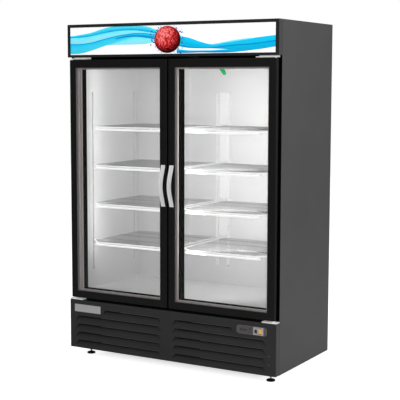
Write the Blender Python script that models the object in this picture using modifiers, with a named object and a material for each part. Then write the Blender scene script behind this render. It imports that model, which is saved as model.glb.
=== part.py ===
"""Two-door glass merchandiser: a tall display refrigerator in separate parts.

Units are metres and +Z is up. The world origin is on the floor, under the
middle of the whole object, handles included. Every part is placed from the
cabinet datum: x from the middle plane, y back from the front plane of the
header and grille, z up from the underside of the base.
"""

import math

import bmesh
import bpy
from mathutils import Matrix, Vector

# Overall size
WIDTH = 1.370
DEPTH = 0.700
BODY_HEIGHT = 1.9035
SKIRT = 0.007  # how far the outer sheets hang below the base pan
FOOT_HEIGHT = 0.060
HANDLE_REACH = 0.040

# Clearance between neighbouring parts, and sheet metal thickness
GAP = 0.0003
SHEET = 0.002
PAST = 0.010  # how far a cutter runs past the face it cuts

# Cabinet, from outside to inside
HALF_WIDTH = WIDTH / 2
FRONT_BOX_DEPTH = 0.042
FRAME_FRONT = 0.045
FRAME_BACK = 0.093
BACK_SHEET_Y = DEPTH - SHEET
SHELL_INSIDE = HALF_WIDTH - SHEET
CAVITY_HALF_WIDTH = 0.620
CAVITY_BACK = 0.650
CAVITY_FLOOR = 0.335
CAVITY_TOP = 1.850
OPENING_BOTTOM = 0.345
OPENING_TOP = 1.652
MULLION_HALF_WIDTH = 0.056
LED_OUTER_X = CAVITY_HALF_WIDTH + 0.025
LED_BACK = 0.053

# Front view, from the bottom up
BASE_TOP = 0.2825
DECK_TOP = BASE_TOP + GAP
DOOR_BOTTOM = 0.297
DOOR_TOP = 1.701
HEADER_BOTTOM = 1.715

# Doors
DOOR_OUTER_X = HALF_WIDTH - 0.013
DOOR_INNER_X = 0.005
DOOR_DEPTH = 0.030
STILE = 0.044
BOTTOM_RAIL = 0.043
TOP_RAIL = 0.046
LIP_DEPTH = 0.009
REBATE = 0.006
GLASS = 0.004
SPACER_DEPTH = 0.0114
SPACER_HIDDEN = 0.002
SPACER_WIDTH = 0.012
GASKET_INSET = 0.012
GASKET_WIDTH = 0.0145
HINGE_X = DOOR_OUTER_X - 0.012
HINGE_Y = 0.015
PIN_RADIUS = 0.004
PIN_LENGTH = 0.012
HANDLE_X = 0.0275
HANDLE_WIDTH = 0.029
HANDLE_BOTTOM = 0.878
HANDLE_TOP = 1.112

# Header light box
HEADER_TRIM_SIDE = 0.0205
HEADER_TRIM_BOTTOM = 0.0142
HEADER_TRIM_TOP = 0.0177
SIGN_THICKNESS = 0.003

# Front grille
GRILLE_PLATE = 0.016
LOUVRE_PITCH = 0.049
LOUVRE_HEIGHT = 0.030
LOUVRE_DEPTH = 0.0135
LOUVRE_SLOT = 0.009
LOUVRE_TAPER = 0.006
LOUVRE_SLANT = 0.018
LOUVRE_ROOF = 0.0015
LOUVRE_TOPS = [0.041 + LOUVRE_PITCH * row for row in range(5)]
LOUVRE_BANKS = {"left": (-0.644, -0.044), "right": (0.030, 0.625)}
TOP_ROW_SPAN = (-0.452, 0.428)  # clears the name plate and the control panel

# Control panel, set in the top right of the grille
PANEL_X = 0.538
PANEL_Z = 0.2345
PANEL_HALF_WIDTH = 0.093
PANEL_HALF_HEIGHT = 0.0245
SLEEVE_INSET = (0.007, 0.006)
CONTROL_FACE = -0.0045
THERMOSTAT_X = (PANEL_X - 0.080, PANEL_X + 0.004)
THERMOSTAT_HALF_HEIGHT = 0.0162
KEY_X = PANEL_X - 0.006
KEY_RADIUS = 0.0035
KEY_LENGTH = 0.0050
KEY_FRONT = -0.0060
SWITCH_X = {"light_switch": PANEL_X + 0.0275, "power_switch": PANEL_X + 0.0555}
SWITCH_WIDTH = 0.0245
SWITCH_HALF_HEIGHT = 0.0150
SWITCH_HOLE_HALF_HEIGHT = 0.0172
SWITCH_PIVOT_Y = 0.002

# Machine under the deck
CONDENSER_X = (-0.560, -0.200)
CONDENSER_Y = (0.090, 0.190)
CONDENSER_TOP = 0.262
FAN_POCKET_RADIUS = 0.120
FAN_POCKET_DEPTH = 0.050
CONDENSER_FAN_Y = 0.174
CONDENSER_FAN_RADIUS = 0.108

# Evaporator under the ceiling of the cavity
EVAPORATOR_X = 0.450
EVAPORATOR_Y = (0.250, 0.645)
EVAPORATOR_BOTTOM = 1.668
COLD_FAN = (0.0, 0.290, 1.762)
COLD_FAN_RADIUS = 0.070

# Shelves: deck heights from top to bottom, and the plan of one shelf
SHELF_LEVELS = (1.315, 1.088, 0.860, 0.633)
SHELF_OUTER_X = 0.600
SHELF_INNER_X = 0.024
SHELF_FRONT = 0.057
SHELF_BACK = 0.612
SHELF_CORNER = 0.072
SHELF_THICKNESS = 0.006
SHELF_RIM = 0.008
PILASTER_BOTTOM = 0.450
PILASTER_TOP = 1.512

# Feet, each given as (x, y)
FRONT_FOOT = (0.606, 0.101)
REAR_FOOT = (0.530, 0.640)
FOOT_RADIUS = 0.025
STEM_RADIUS = 0.005

LEFT, RIGHT = -1, 1
SIDES = {"left": LEFT, "right": RIGHT}

FINISHES = {
    "black_steel": ((0.085, 0.085, 0.090), 0.45, 0.6),
    "door_black": ((0.012, 0.012, 0.013), 0.35, 0.4),
    "frame_black": ((0.010, 0.010, 0.011), 0.60, 0.0),
    "grille_black": ((0.030, 0.030, 0.032), 0.50, 0.0),
    "galvanised": ((0.55, 0.57, 0.58), 0.45, 0.9),
    "foam": ((0.80, 0.70, 0.42), 0.90, 0.0),
    "liner_white": ((0.86, 0.87, 0.88), 0.35, 0.0),
    "wire_white": ((0.90, 0.90, 0.90), 0.35, 0.0),
    "sign_white": ((0.85, 0.92, 0.97), 0.30, 0.0),
    "lamp": ((0.95, 0.97, 1.00), 0.30, 0.0),
    "aluminium": ((0.55, 0.54, 0.54), 0.35, 0.9),
    "chrome": ((0.75, 0.75, 0.76), 0.20, 1.0),
    "glass": ((0.80, 0.88, 0.88), 0.05, 0.0),
    "gasket": ((0.030, 0.030, 0.030), 0.80, 0.0),
    "foot_black": ((0.015, 0.015, 0.015), 0.70, 0.0),
    "hinge_steel": ((0.72, 0.72, 0.73), 0.35, 1.0),
    "panel_grey": ((0.16, 0.15, 0.15), 0.40, 0.0),
    "display": ((0.05, 0.05, 0.055), 0.20, 0.0),
    "amber": ((0.90, 0.50, 0.05), 0.25, 0.0),
    "plate": ((0.70, 0.70, 0.71), 0.30, 0.9),
    "motor_black": ((0.02, 0.02, 0.02), 0.50, 0.3),
    "green": ((0.02, 0.50, 0.12), 0.40, 0.0),
}


# ---------------------------------------------------------------- helpers


def clear_scene():
    """Removes whatever the scene holds."""
    for obj in list(bpy.data.objects):
        bpy.data.objects.remove(obj, do_unlink=True)


def make_collection(name):
    """A new collection in the scene."""
    collection = bpy.data.collections.new(name)
    bpy.context.scene.collection.children.link(collection)
    return collection


def finish(name):
    """The Principled material of a finish, made the first time it is used."""
    existing = bpy.data.materials.get(name)
    if existing:
        return existing
    colour, roughness, metallic = FINISHES[name]
    material = bpy.data.materials.new(name)
    material.use_nodes = True
    shader = material.node_tree.nodes["Principled BSDF"]
    shader.inputs["Base Color"].default_value = (*colour, 1.0)
    shader.inputs["Roughness"].default_value = roughness
    shader.inputs["Metallic"].default_value = metallic
    if name == "glass":
        shader.inputs["Transmission Weight"].default_value = 1.0
    return material


def add_axis(name, at, parent=None):
    """An empty. The cabinet datum has no parent; a joint's axis hangs from it."""
    empty = bpy.data.objects.new(name, None)
    empty.empty_display_size = 0.05
    empty.parent = parent
    empty.location = at
    PARTS.objects.link(empty)
    return empty


def place(obj, at, carrier):
    """Puts an object at a point of the cabinet datum, carried by an empty."""
    obj.parent = carrier
    on_axis = carrier.parent is not None
    obj.location = Vector(at) - carrier.location if on_axis else Vector(at)


def add_part(name, mesh, at, finish_name, carrier):
    """A named part in the object's collection."""
    obj = bpy.data.objects.new(name, mesh)
    mesh.materials.append(finish(finish_name))
    PARTS.objects.link(obj)
    place(obj, at, carrier)
    return obj


def add_tool(name, mesh, at, carrier):
    """A hidden shape that cuts a part or is joined to it."""
    obj = bpy.data.objects.new(name, mesh)
    TOOLS.objects.link(obj)
    place(obj, at, carrier)
    obj.hide_render = True
    obj.display_type = "WIRE"
    return obj


def to_mesh(bm, name):
    """Turns a bmesh into a mesh and frees it."""
    mesh = bpy.data.meshes.new(name)
    bm.to_mesh(mesh)
    bm.free()
    return mesh


def boxes_mesh(name, boxes, about):
    """One mesh of separate boxes, each (low corner, high corner), about a point."""
    bm = bmesh.new()
    for low, high in boxes:
        low, high = Vector(low), Vector(high)
        spot = Matrix.Translation((low + high) / 2 - about)
        stretch = Matrix.Diagonal((*(high - low), 1.0))
        bmesh.ops.create_cube(bm, size=1.0, matrix=spot @ stretch)
    return to_mesh(bm, name)


def middle(low, high):
    """The point halfway between two corners."""
    return (Vector(low) + Vector(high)) / 2


def block(name, low, high, finish_name, carrier):
    """A box part with its origin at its middle."""
    centre = middle(low, high)
    mesh = boxes_mesh(name, [(low, high)], centre)
    return add_part(name, mesh, centre, finish_name, carrier)


def boolean(obj, tool, operation):
    """Adds an exact Boolean modifier."""
    modifier = obj.modifiers.new(f"{operation.lower()}_{tool.name}", "BOOLEAN")
    modifier.operation = operation
    modifier.solver = "EXACT"
    modifier.object = tool


def cut_boxes(obj, label, boxes, carrier):
    """Cuts boxes out of a part."""
    centre = middle(*boxes[0])
    name = f"{obj.name}_{label}"
    tool = add_tool(name, boxes_mesh(name, boxes, centre), centre, carrier)
    boolean(obj, tool, "DIFFERENCE")


def join_boxes(obj, label, boxes, carrier):
    """Joins boxes to a part."""
    centre = middle(*boxes[0])
    name = f"{obj.name}_{label}"
    tool = add_tool(name, boxes_mesh(name, boxes, centre), centre, carrier)
    boolean(obj, tool, "UNION")


def cylinder_mesh(name, radius, length, axis, segments=24):
    """A cylinder about the origin, lying along X, Y or Z."""
    turn = {
        "X": Matrix.Rotation(math.pi / 2, 4, "Y"),
        "Y": Matrix.Rotation(math.pi / 2, 4, "X"),
        "Z": Matrix.Identity(4),
    }[axis]
    bm = bmesh.new()
    bmesh.ops.create_cone(
        bm,
        cap_ends=True,
        segments=segments,
        radius1=radius,
        radius2=radius,
        depth=length,
        matrix=turn,
    )
    return to_mesh(bm, name)


def round_tool(obj, label, at, radius, length, axis, operation, carrier, segments=24):
    """Cuts or joins a cylinder whose middle is at a point."""
    name = f"{obj.name}_{label}"
    mesh = cylinder_mesh(name, radius, length, axis, segments)
    boolean(obj, add_tool(name, mesh, at, carrier), operation)


def round_edges(obj, width, segments=2, angle=40.0):
    """Rounds a part's sharp edges."""
    modifier = obj.modifiers.new("rounded_edges", "BEVEL")
    modifier.width = width
    modifier.segments = segments
    modifier.limit_method = "ANGLE"
    modifier.angle_limit = math.radians(angle)


def turned_mesh(name, profile):
    """The open profile, as (radius, height) from top to bottom, for Screw."""
    bm = bmesh.new()
    verts = [bm.verts.new((radius, 0.0, height)) for radius, height in profile]
    for first, second in zip(verts, verts[1:]):
        bm.edges.new((first, second))
    return to_mesh(bm, name)


def turned(name, profile, at, finish_name, carrier, steps=20):
    """A part turned about Z from its profile."""
    obj = add_part(name, turned_mesh(name, profile), at, finish_name, carrier)
    screw = obj.modifiers.new("turned", "SCREW")
    screw.steps = steps
    screw.render_steps = steps
    screw.use_merge_vertices = True
    screw.merge_threshold = 0.00005
    screw.use_smooth_shade = True
    return obj


def outline_part(name, points, thickness, at, finish_name, carrier):
    """A part of constant width along X, from its side outline.

    Each point is (reach forward, height), counted from the given place.
    """
    curve = bpy.data.curves.new(name, "CURVE")
    curve.dimensions = "2D"
    curve.fill_mode = "BOTH"
    curve.extrude = thickness / 2
    spline = curve.splines.new("POLY")
    spline.points.add(len(points) - 1)
    for point, (reach, height) in zip(spline.points, points):
        point.co = (reach, height, 0.0, 1.0)
    spline.use_cyclic_u = True
    obj = add_part(name, curve, at, finish_name, carrier)
    forward, up = Vector((0, -1, 0)), Vector((0, 0, 1))
    axes = Matrix((forward, up, forward.cross(up))).transposed()
    obj.rotation_euler = axes.to_euler()
    weld = obj.modifiers.new("welded_caps", "WELD")
    weld.merge_threshold = 0.00002
    return obj


def shade_round(obj):
    """Smooth shading on a round part, with its sharp edges kept."""
    obj.data.shade_smooth()
    obj.data.set_sharp_from_angle(angle=math.radians(35))


def mirrored(side, near, far):
    """The x range between two distances from the middle, on one side."""
    return (near, far) if side == RIGHT else (-far, -near)


# ---------------------------------------------------------------- cabinet


def outer_cabinet(datum):
    """Side and top sheets in one, with the deck over the machine space."""
    low = (-HALF_WIDTH, FRONT_BOX_DEPTH, -SKIRT)
    high = (HALF_WIDTH, BACK_SHEET_Y - GAP, BODY_HEIGHT)
    shell = block("outer_cabinet", low, high, "black_steel", datum)
    front, back = FRONT_BOX_DEPTH - PAST, DEPTH + PAST
    room = [
        (
            (-SHELL_INSIDE, front, DECK_TOP),
            (SHELL_INSIDE, back, BODY_HEIGHT - SHEET),
        ),
        ((-SHELL_INSIDE, front, -PAST), (SHELL_INSIDE, back, DECK_TOP - SHEET)),
    ]
    cut_boxes(shell, "rooms", room, datum)


def back_panel(datum):
    """Galvanised sheet over the back of the insulated box."""
    low = (-HALF_WIDTH, BACK_SHEET_Y, BASE_TOP + GAP)
    high = (HALF_WIDTH, DEPTH, BODY_HEIGHT)
    block("back_panel", low, high, "galvanised", datum)


def foam_insulation(datum):
    """Foam between the outer sheets and the liner, open at the front."""
    half = SHELL_INSIDE - GAP
    low = (-half, FRAME_BACK + GAP, DECK_TOP + GAP)
    high = (half, BACK_SHEET_Y - GAP, BODY_HEIGHT - SHEET - GAP)
    foam = block("foam_insulation", low, high, "foam", datum)
    skin = SHEET + GAP
    cavity = (
        (-CAVITY_HALF_WIDTH - skin, FRAME_BACK - PAST, CAVITY_FLOOR - skin),
        (CAVITY_HALF_WIDTH + skin, CAVITY_BACK + skin, CAVITY_TOP + skin),
    )
    cut_boxes(foam, "cavity", [cavity], datum)


def inner_liner(datum):
    """White inner tank, open at the front."""
    half = CAVITY_HALF_WIDTH + SHEET
    low = (-half, FRAME_BACK + GAP, CAVITY_FLOOR - SHEET)
    high = (half, CAVITY_BACK + SHEET, CAVITY_TOP + SHEET)
    liner = block("inner_liner", low, high, "liner_white", datum)
    cavity = (
        (-CAVITY_HALF_WIDTH, FRAME_BACK - PAST, CAVITY_FLOOR),
        (CAVITY_HALF_WIDTH, CAVITY_BACK, CAVITY_TOP),
    )
    cut_boxes(liner, "cavity", [cavity], datum)


def face_frame(datum):
    """Black front frame with the centre mullion that both doors seal against."""
    half = SHELL_INSIDE - GAP
    low = (-half, FRAME_FRONT, DECK_TOP + GAP)
    high = (half, FRAME_BACK, BODY_HEIGHT - SHEET - GAP)
    frame = block("face_frame", low, high, "frame_black", datum)
    front, back = FRAME_FRONT - PAST, FRAME_BACK + PAST
    openings = []
    notches = []
    for side in SIDES.values():
        near, far = mirrored(side, MULLION_HALF_WIDTH, CAVITY_HALF_WIDTH)
        openings.append(((near, front, OPENING_BOTTOM), (far, back, OPENING_TOP)))
        near, far = mirrored(side, CAVITY_HALF_WIDTH - PAST, LED_OUTER_X + GAP)
        notch_back = LED_BACK + GAP
        notches.append(((near, front, OPENING_BOTTOM), (far, notch_back, OPENING_TOP)))
    cut_boxes(frame, "openings", openings, datum)
    cut_boxes(frame, "lamp_notches", notches, datum)


def led_bar(name, side, datum):
    """Aluminium lamp channel let into the inner edge of a side jamb."""
    near, far = mirrored(side, CAVITY_HALF_WIDTH + GAP, LED_OUTER_X)
    low = (near, FRAME_FRONT + GAP, OPENING_BOTTOM + GAP)
    high = (far, LED_BACK, OPENING_TOP - GAP)
    block(name, low, high, "aluminium", datum)


# ---------------------------------------------------------------- header


def header_housing(datum):
    """Light box over the doors, with its trim in one piece, open in front."""
    low = (-HALF_WIDTH, 0.0, HEADER_BOTTOM)
    high = (HALF_WIDTH, FRONT_BOX_DEPTH - GAP, BODY_HEIGHT)
    housing = block("header_housing", low, high, "door_black", datum)
    round_edges(housing, 0.0015, segments=1)
    window = (
        (-HALF_WIDTH + HEADER_TRIM_SIDE, -PAST, HEADER_BOTTOM + HEADER_TRIM_BOTTOM),
        (HALF_WIDTH - HEADER_TRIM_SIDE, SHEET + 0.001, BODY_HEIGHT - HEADER_TRIM_TOP),
    )
    inside = (
        (-SHELL_INSIDE, SHEET, HEADER_BOTTOM + SHEET),
        (SHELL_INSIDE, FRONT_BOX_DEPTH - GAP - SHEET, BODY_HEIGHT - SHEET),
    )
    cut_boxes(housing, "inside", [inside], datum)
    cut_boxes(housing, "window", [window], datum)


def sign_panel(datum):
    """Translucent panel behind the header's trim."""
    margin = SHEET + GAP
    low = (-HALF_WIDTH + margin, margin, HEADER_BOTTOM + margin)
    high = (HALF_WIDTH - margin, margin + SIGN_THICKNESS, BODY_HEIGHT - margin)
    block("sign_panel", low, high, "sign_white", datum)


def sign_lamp(datum):
    """Lamp tube with a holder at each end, standing on the back of the box."""
    radius, half_length = 0.008, 0.600
    centre = Vector((0.0, 0.023, (HEADER_BOTTOM + BODY_HEIGHT) / 2))
    tube = cylinder_mesh("sign_lamp", radius, 2 * half_length, "X", 16)
    lamp = add_part("sign_lamp", tube, centre, "lamp", datum)
    shade_round(lamp)
    back = FRONT_BOX_DEPTH - SHEET - 2 * GAP
    reach, height = 0.011, 0.014
    holders = []
    for side in SIDES.values():
        near, far = mirrored(side, half_length - 0.010, half_length + 0.015)
        low = (near, centre.y - reach, centre.z - height)
        high = (far, back, centre.z + height)
        holders.append((low, high))
    join_boxes(lamp, "holders", holders, datum)


# ---------------------------------------------------------------- base


def base_pan(datum):
    """Tray that carries the machine and the feet."""
    half = SHELL_INSIDE - GAP
    rim = 0.045
    low = (-half, FRONT_BOX_DEPTH + GAP, 0.0)
    high = (half, BACK_SHEET_Y - GAP, rim)
    pan = block("base_pan", low, high, "galvanised", datum)
    room = (
        (low[0] + SHEET, low[1] + SHEET, SHEET),
        (high[0] - SHEET, high[1] - SHEET, rim + PAST),
    )
    cut_boxes(pan, "room", [room], datum)
    for number, (x, y) in enumerate(foot_places().values()):
        hole_radius = STEM_RADIUS + 0.0006
        round_tool(
            pan, f"foot_hole_{number}", (x, y, 0.0), hole_radius, 4 * SHEET,
            "Z", "DIFFERENCE", datum, segments=16,
        )


def foot_places():
    """Each foot's node name and place."""
    places = {}
    for word, side in SIDES.items():
        places[f"foot_front_{word}"] = (side * FRONT_FOOT[0], FRONT_FOOT[1])
        places[f"foot_rear_{word}"] = (side * REAR_FOOT[0], REAR_FOOT[1])
    return places


def feet(datum):
    """Levelling feet: a threaded stem on a domed pad."""
    ground = -FOOT_HEIGHT
    profile = [
        (0.0, 0.032),
        (STEM_RADIUS, 0.032),
        (STEM_RADIUS, ground + 0.0135),
        (0.010, ground + 0.0130),
        (0.018, ground + 0.0110),
        (FOOT_RADIUS, ground + 0.0070),
        (FOOT_RADIUS, ground + 0.002),
        (FOOT_RADIUS - 0.002, ground),
        (0.0, ground),
    ]
    for name, (x, y) in foot_places().items():
        carrier = add_axis(f"{name}_axis", (x, y, 0.0), datum)
        turned(name, profile, (x, y, 0.0), "foot_black", carrier, steps=16)


def louvre_spans(bank):
    """Each louvre of a bank as (left, right, top), from the lowest up."""
    near, far = LOUVRE_BANKS[bank]
    spans = [(near, far, top) for top in LOUVRE_TOPS[:-1]]
    top_left, top_right = max(near, TOP_ROW_SPAN[0]), min(far, TOP_ROW_SPAN[1])
    return spans + [(top_left, top_right, LOUVRE_TOPS[-1])]


def wedge(bm, left, right, top, centre):
    """A cube reshaped into a louvre's cutter: flush at its foot, deepest at its
    top, with slanted ends that are drawn in toward the top and the back."""
    front = -PAST
    slope = (LOUVRE_HEIGHT - LOUVRE_ROOF) / LOUVRE_DEPTH
    cube = bmesh.ops.create_cube(bm, size=1.0)
    for vert in cube["verts"]:
        at_back, at_top, at_right = vert.co.y > 0, vert.co.z > 0, vert.co.x > 0
        y = LOUVRE_DEPTH if at_back else front
        foot = top - LOUVRE_ROOF if at_back else top - LOUVRE_HEIGHT + slope * front
        z = top if at_top else foot
        rise = 1 - (top - z) / LOUVRE_HEIGHT
        inset = LOUVRE_SLANT * rise + LOUVRE_TAPER * y / LOUVRE_DEPTH
        x = right - inset if at_right else left + inset
        vert.co = Vector((x, y, z)) - centre


def cut_louvres(grille, bank, datum):
    """Cuts a bank's wedges, and a slot through the plate at each one's top."""
    spans = louvre_spans(bank)
    centre = Vector((sum(LOUVRE_BANKS[bank]) / 2, 0.0, BASE_TOP / 2))
    bm = bmesh.new()
    slots = []
    for left, right, top in spans:
        wedge(bm, left, right, top, centre)
        inset = LOUVRE_SLANT + LOUVRE_TAPER + 0.002
        slot_low = (left + inset, LOUVRE_DEPTH - 0.003, top - LOUVRE_SLOT)
        slot_high = (right - inset, GRILLE_PLATE + PAST, top - LOUVRE_ROOF)
        slots.append((slot_low, slot_high))
    name = f"{grille.name}_{bank}_louvres"
    tool = add_tool(name, to_mesh(bm, name), centre, datum)
    boolean(grille, tool, "DIFFERENCE")
    cut_boxes(grille, f"{bank}_slots", slots, datum)


def front_grille(datum):
    """Louvred panel in front of the machine space, with short side returns."""
    low = (-HALF_WIDTH, 0.0, -SKIRT)
    high = (HALF_WIDTH, FRONT_BOX_DEPTH - GAP, BASE_TOP)
    grille = block("front_grille", low, high, "grille_black", datum)
    round_edges(grille, 0.002, segments=1)
    wall = 0.004
    hollow = (
        (-HALF_WIDTH + wall, GRILLE_PLATE, wall - SKIRT),
        (HALF_WIDTH - wall, FRONT_BOX_DEPTH + PAST, BASE_TOP - wall),
    )
    cut_boxes(grille, "hollow", [hollow], datum)
    for bank in LOUVRE_BANKS:
        cut_louvres(grille, bank, datum)
    half_width = PANEL_HALF_WIDTH - SLEEVE_INSET[0]
    half_height = PANEL_HALF_HEIGHT - SLEEVE_INSET[1]
    control_hole = (
        (PANEL_X - half_width, -PAST, PANEL_Z - half_height),
        (PANEL_X + half_width, GRILLE_PLATE + PAST, PANEL_Z + half_height),
    )
    cut_boxes(grille, "control_hole", [control_hole], datum)


def name_plate(datum):
    """Blank plate on the top left of the grille."""
    thickness = 0.0015
    low = (-0.650, -GAP - thickness, 0.2125)
    high = (-0.464, -GAP, 0.2575)
    plate = block("name_plate", low, high, "plate", datum)
    round_edges(plate, 0.0006, segments=1)


def rear_grille(datum):
    """Slotted sheet over the back of the machine space."""
    low = (-HALF_WIDTH, BACK_SHEET_Y, -SKIRT)
    high = (HALF_WIDTH, DEPTH, BASE_TOP)
    grille = block("rear_grille", low, high, "galvanised", datum)
    slots = []
    rows, pitch, slot = 8, 0.026, 0.012
    for side in SIDES.values():
        near, far = mirrored(side, 0.050, 0.600)
        for row in range(rows):
            bottom = 0.045 + row * pitch
            slots.append(
                ((near, BACK_SHEET_Y - PAST, bottom), (far, DEPTH + PAST, bottom + slot))
            )
    cut_boxes(grille, "slots", slots, datum)


# ---------------------------------------------------------------- controls


def control_bezel(datum):
    """Round-ended bezel that holds the thermostat and the switches."""
    flange = 0.0028
    low = (PANEL_X - PANEL_HALF_WIDTH, -GAP - flange, PANEL_Z - PANEL_HALF_HEIGHT)
    high = (PANEL_X + PANEL_HALF_WIDTH, -GAP, PANEL_Z + PANEL_HALF_HEIGHT)
    bezel = block("control_bezel", low, high, "panel_grey", datum)
    bm = bmesh.new()
    bm.from_mesh(bezel.data)
    corners = [e for e in bm.edges if abs(e.verts[0].co.y - e.verts[1].co.y) > 0.001]
    bmesh.ops.bevel(
        bm, geom=corners, offset=0.018, segments=5, profile=0.5, affect="EDGES"
    )
    bm.to_mesh(bezel.data)
    bm.free()
    clear = 0.0005
    half_width = PANEL_HALF_WIDTH - SLEEVE_INSET[0] - clear
    half_height = PANEL_HALF_HEIGHT - SLEEVE_INSET[1] - clear
    sleeve = (
        (PANEL_X - half_width, -GAP - 0.001, PANEL_Z - half_height),
        (PANEL_X + half_width, 0.014, PANEL_Z + half_height),
    )
    join_boxes(bezel, "sleeve", [sleeve], datum)
    tall, back = THERMOSTAT_HALF_HEIGHT + GAP, GRILLE_PLATE + PAST
    holes = [
        (
            (THERMOSTAT_X[0] - GAP, -PAST, PANEL_Z - tall),
            (THERMOSTAT_X[1] + GAP, back, PANEL_Z + tall),
        )
    ]
    for x in SWITCH_X.values():
        reach, tall = SWITCH_WIDTH / 2 + 0.0004, SWITCH_HOLE_HALF_HEIGHT
        holes.append(
            ((x - reach, -PAST, PANEL_Z - tall), (x + reach, back, PANEL_Z + tall))
        )
    cut_boxes(bezel, "holes", holes, datum)


def thermostat(datum):
    """Temperature controller with a round pocket for its key."""
    low = (THERMOSTAT_X[0], CONTROL_FACE, PANEL_Z - THERMOSTAT_HALF_HEIGHT)
    high = (THERMOSTAT_X[1], 0.030, PANEL_Z + THERMOSTAT_HALF_HEIGHT)
    body = block("thermostat", low, high, "display", datum)
    round_tool(
        body, "key_pocket", (KEY_X, CONTROL_FACE, PANEL_Z), KEY_RADIUS + GAP,
        2 * KEY_LENGTH, "Y", "DIFFERENCE", datum, segments=20,
    )


def thermostat_button(datum):
    """Set key that is pushed in along Y."""
    at = (KEY_X, KEY_FRONT + KEY_LENGTH / 2, PANEL_Z)
    carrier = add_axis("thermostat_button_axis", at, datum)
    mesh = cylinder_mesh("thermostat_button", KEY_RADIUS, KEY_LENGTH, "Y", 20)
    key = add_part("thermostat_button", mesh, at, "panel_grey", carrier)
    shade_round(key)


def rocker_switch(name, finish_name, datum):
    """Rocker on a crosswise pivot, resting with its lower end pressed in."""
    half = SWITCH_HALF_HEIGHT
    outline = [
        (0.0100, half),
        (0.0055, 0.0),
        (0.0050, -half),
        (-0.0020, -half),
        (-0.0060, 0.0),
        (-0.0020, half),
    ]
    at = (SWITCH_X[name], SWITCH_PIVOT_Y, PANEL_Z)
    carrier = add_axis(f"{name}_axis", at, datum)
    outline_part(name, outline, SWITCH_WIDTH, at, finish_name, carrier)


# ---------------------------------------------------------------- machine


def compressor(datum):
    """Hermetic compressor can with its mounting plate."""
    x, y = 0.120, 0.420
    bottom = SHEET + GAP
    radius, height = 0.085, 0.185
    profile = [
        (0.0, height),
        (radius * 0.55, height - 0.004),
        (radius * 0.90, height - 0.020),
        (radius, height - 0.050),
        (radius, 0.050),
        (radius * 0.90, 0.022),
        (radius * 0.60, 0.008),
        (0.0, 0.008),
    ]
    can = turned("compressor", profile, (x, y, bottom), "motor_black", datum)
    plate = ((x - 0.105, y - 0.070, bottom), (x + 0.105, y + 0.070, bottom + 0.012))
    join_boxes(can, "plate", [plate], datum)


def condenser(datum):
    """Finned condenser with a fan shroud and motor boss behind it."""
    low = (CONDENSER_X[0], CONDENSER_Y[0], SHEET + GAP)
    high = (CONDENSER_X[1], CONDENSER_Y[1], CONDENSER_TOP)
    coil = block("condenser", low, high, "aluminium", datum)
    centre = middle(low, high)
    round_tool(
        coil, "fan_pocket", (centre.x, high[1], centre.z), FAN_POCKET_RADIUS,
        2 * FAN_POCKET_DEPTH, "Y", "DIFFERENCE", datum, segments=32,
    )
    boss_length = 0.024
    boss_middle = high[1] - FAN_POCKET_DEPTH + boss_length / 2 - 0.001
    round_tool(
        coil, "motor", (centre.x, boss_middle, centre.z), 0.024, boss_length,
        "Y", "UNION", datum, segments=16,
    )
    grooves = []
    count, groove, depth = 14, 0.010, 0.030
    pitch = (high[0] - low[0]) / (count + 1)
    for number in range(1, count + 1):
        x = low[0] + number * pitch
        grooves.append(
            (
                (x - groove / 2, low[1] - PAST, low[2] + 0.015),
                (x + groove / 2, low[1] + depth, high[2] - 0.015),
            )
        )
    cut_boxes(coil, "fin_gaps", grooves, datum)


def fan(name, at, tip_radius, hub_radius, blades, datum):
    """Axial fan about Y: a hub with pitched blades."""
    carrier = add_axis(f"{name}_axis", at, datum)
    hub_length = 0.016
    mesh = cylinder_mesh(name, hub_radius, hub_length, "Y", 16)
    hub = add_part(name, mesh, at, "motor_black", carrier)
    bm = bmesh.new()
    root = hub_radius - 0.004
    span = tip_radius - root
    chord, thickness, pitch = hub_radius * 1.5, 0.003, math.radians(24)
    for number in range(blades):
        turn = Matrix.Rotation(2 * math.pi * number / blades, 4, "Y")
        shift = Matrix.Translation((root + span / 2, 0.0, 0.0))
        tilt = Matrix.Rotation(pitch, 4, "X")
        stretch = Matrix.Diagonal((span, thickness, chord, 1.0))
        bmesh.ops.create_cube(bm, size=1.0, matrix=turn @ shift @ tilt @ stretch)
    tool = add_tool(f"{name}_blades", to_mesh(bm, f"{name}_blades"), at, carrier)
    boolean(hub, tool, "UNION")


# ---------------------------------------------------------------- evaporator


def evaporator_housing(datum):
    """Cover under the ceiling of the cavity, with the fan's round opening."""
    low = (-EVAPORATOR_X, EVAPORATOR_Y[0], EVAPORATOR_BOTTOM)
    high = (EVAPORATOR_X, EVAPORATOR_Y[1], CAVITY_TOP - GAP)
    cover = block("evaporator_housing", low, high, "liner_white", datum)
    room = (
        (low[0] + SHEET, low[1] + SHEET, low[2] + SHEET),
        (high[0] - SHEET, high[1] - SHEET, high[2] + PAST),
    )
    cut_boxes(cover, "room", [room], datum)
    opening = (COLD_FAN[0], low[1], COLD_FAN[2])
    round_tool(
        cover, "fan_opening", opening, COLD_FAN_RADIUS + 0.008, 0.020,
        "Y", "DIFFERENCE", datum, segments=32,
    )
    slots = []
    for number in range(-4, 5):
        x = number * 0.090
        slots.append(
            ((x - 0.035, 0.600, low[2] - PAST), (x + 0.035, 0.620, low[2] + PAST))
        )
    cut_boxes(cover, "return_slots", slots, datum)


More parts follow.
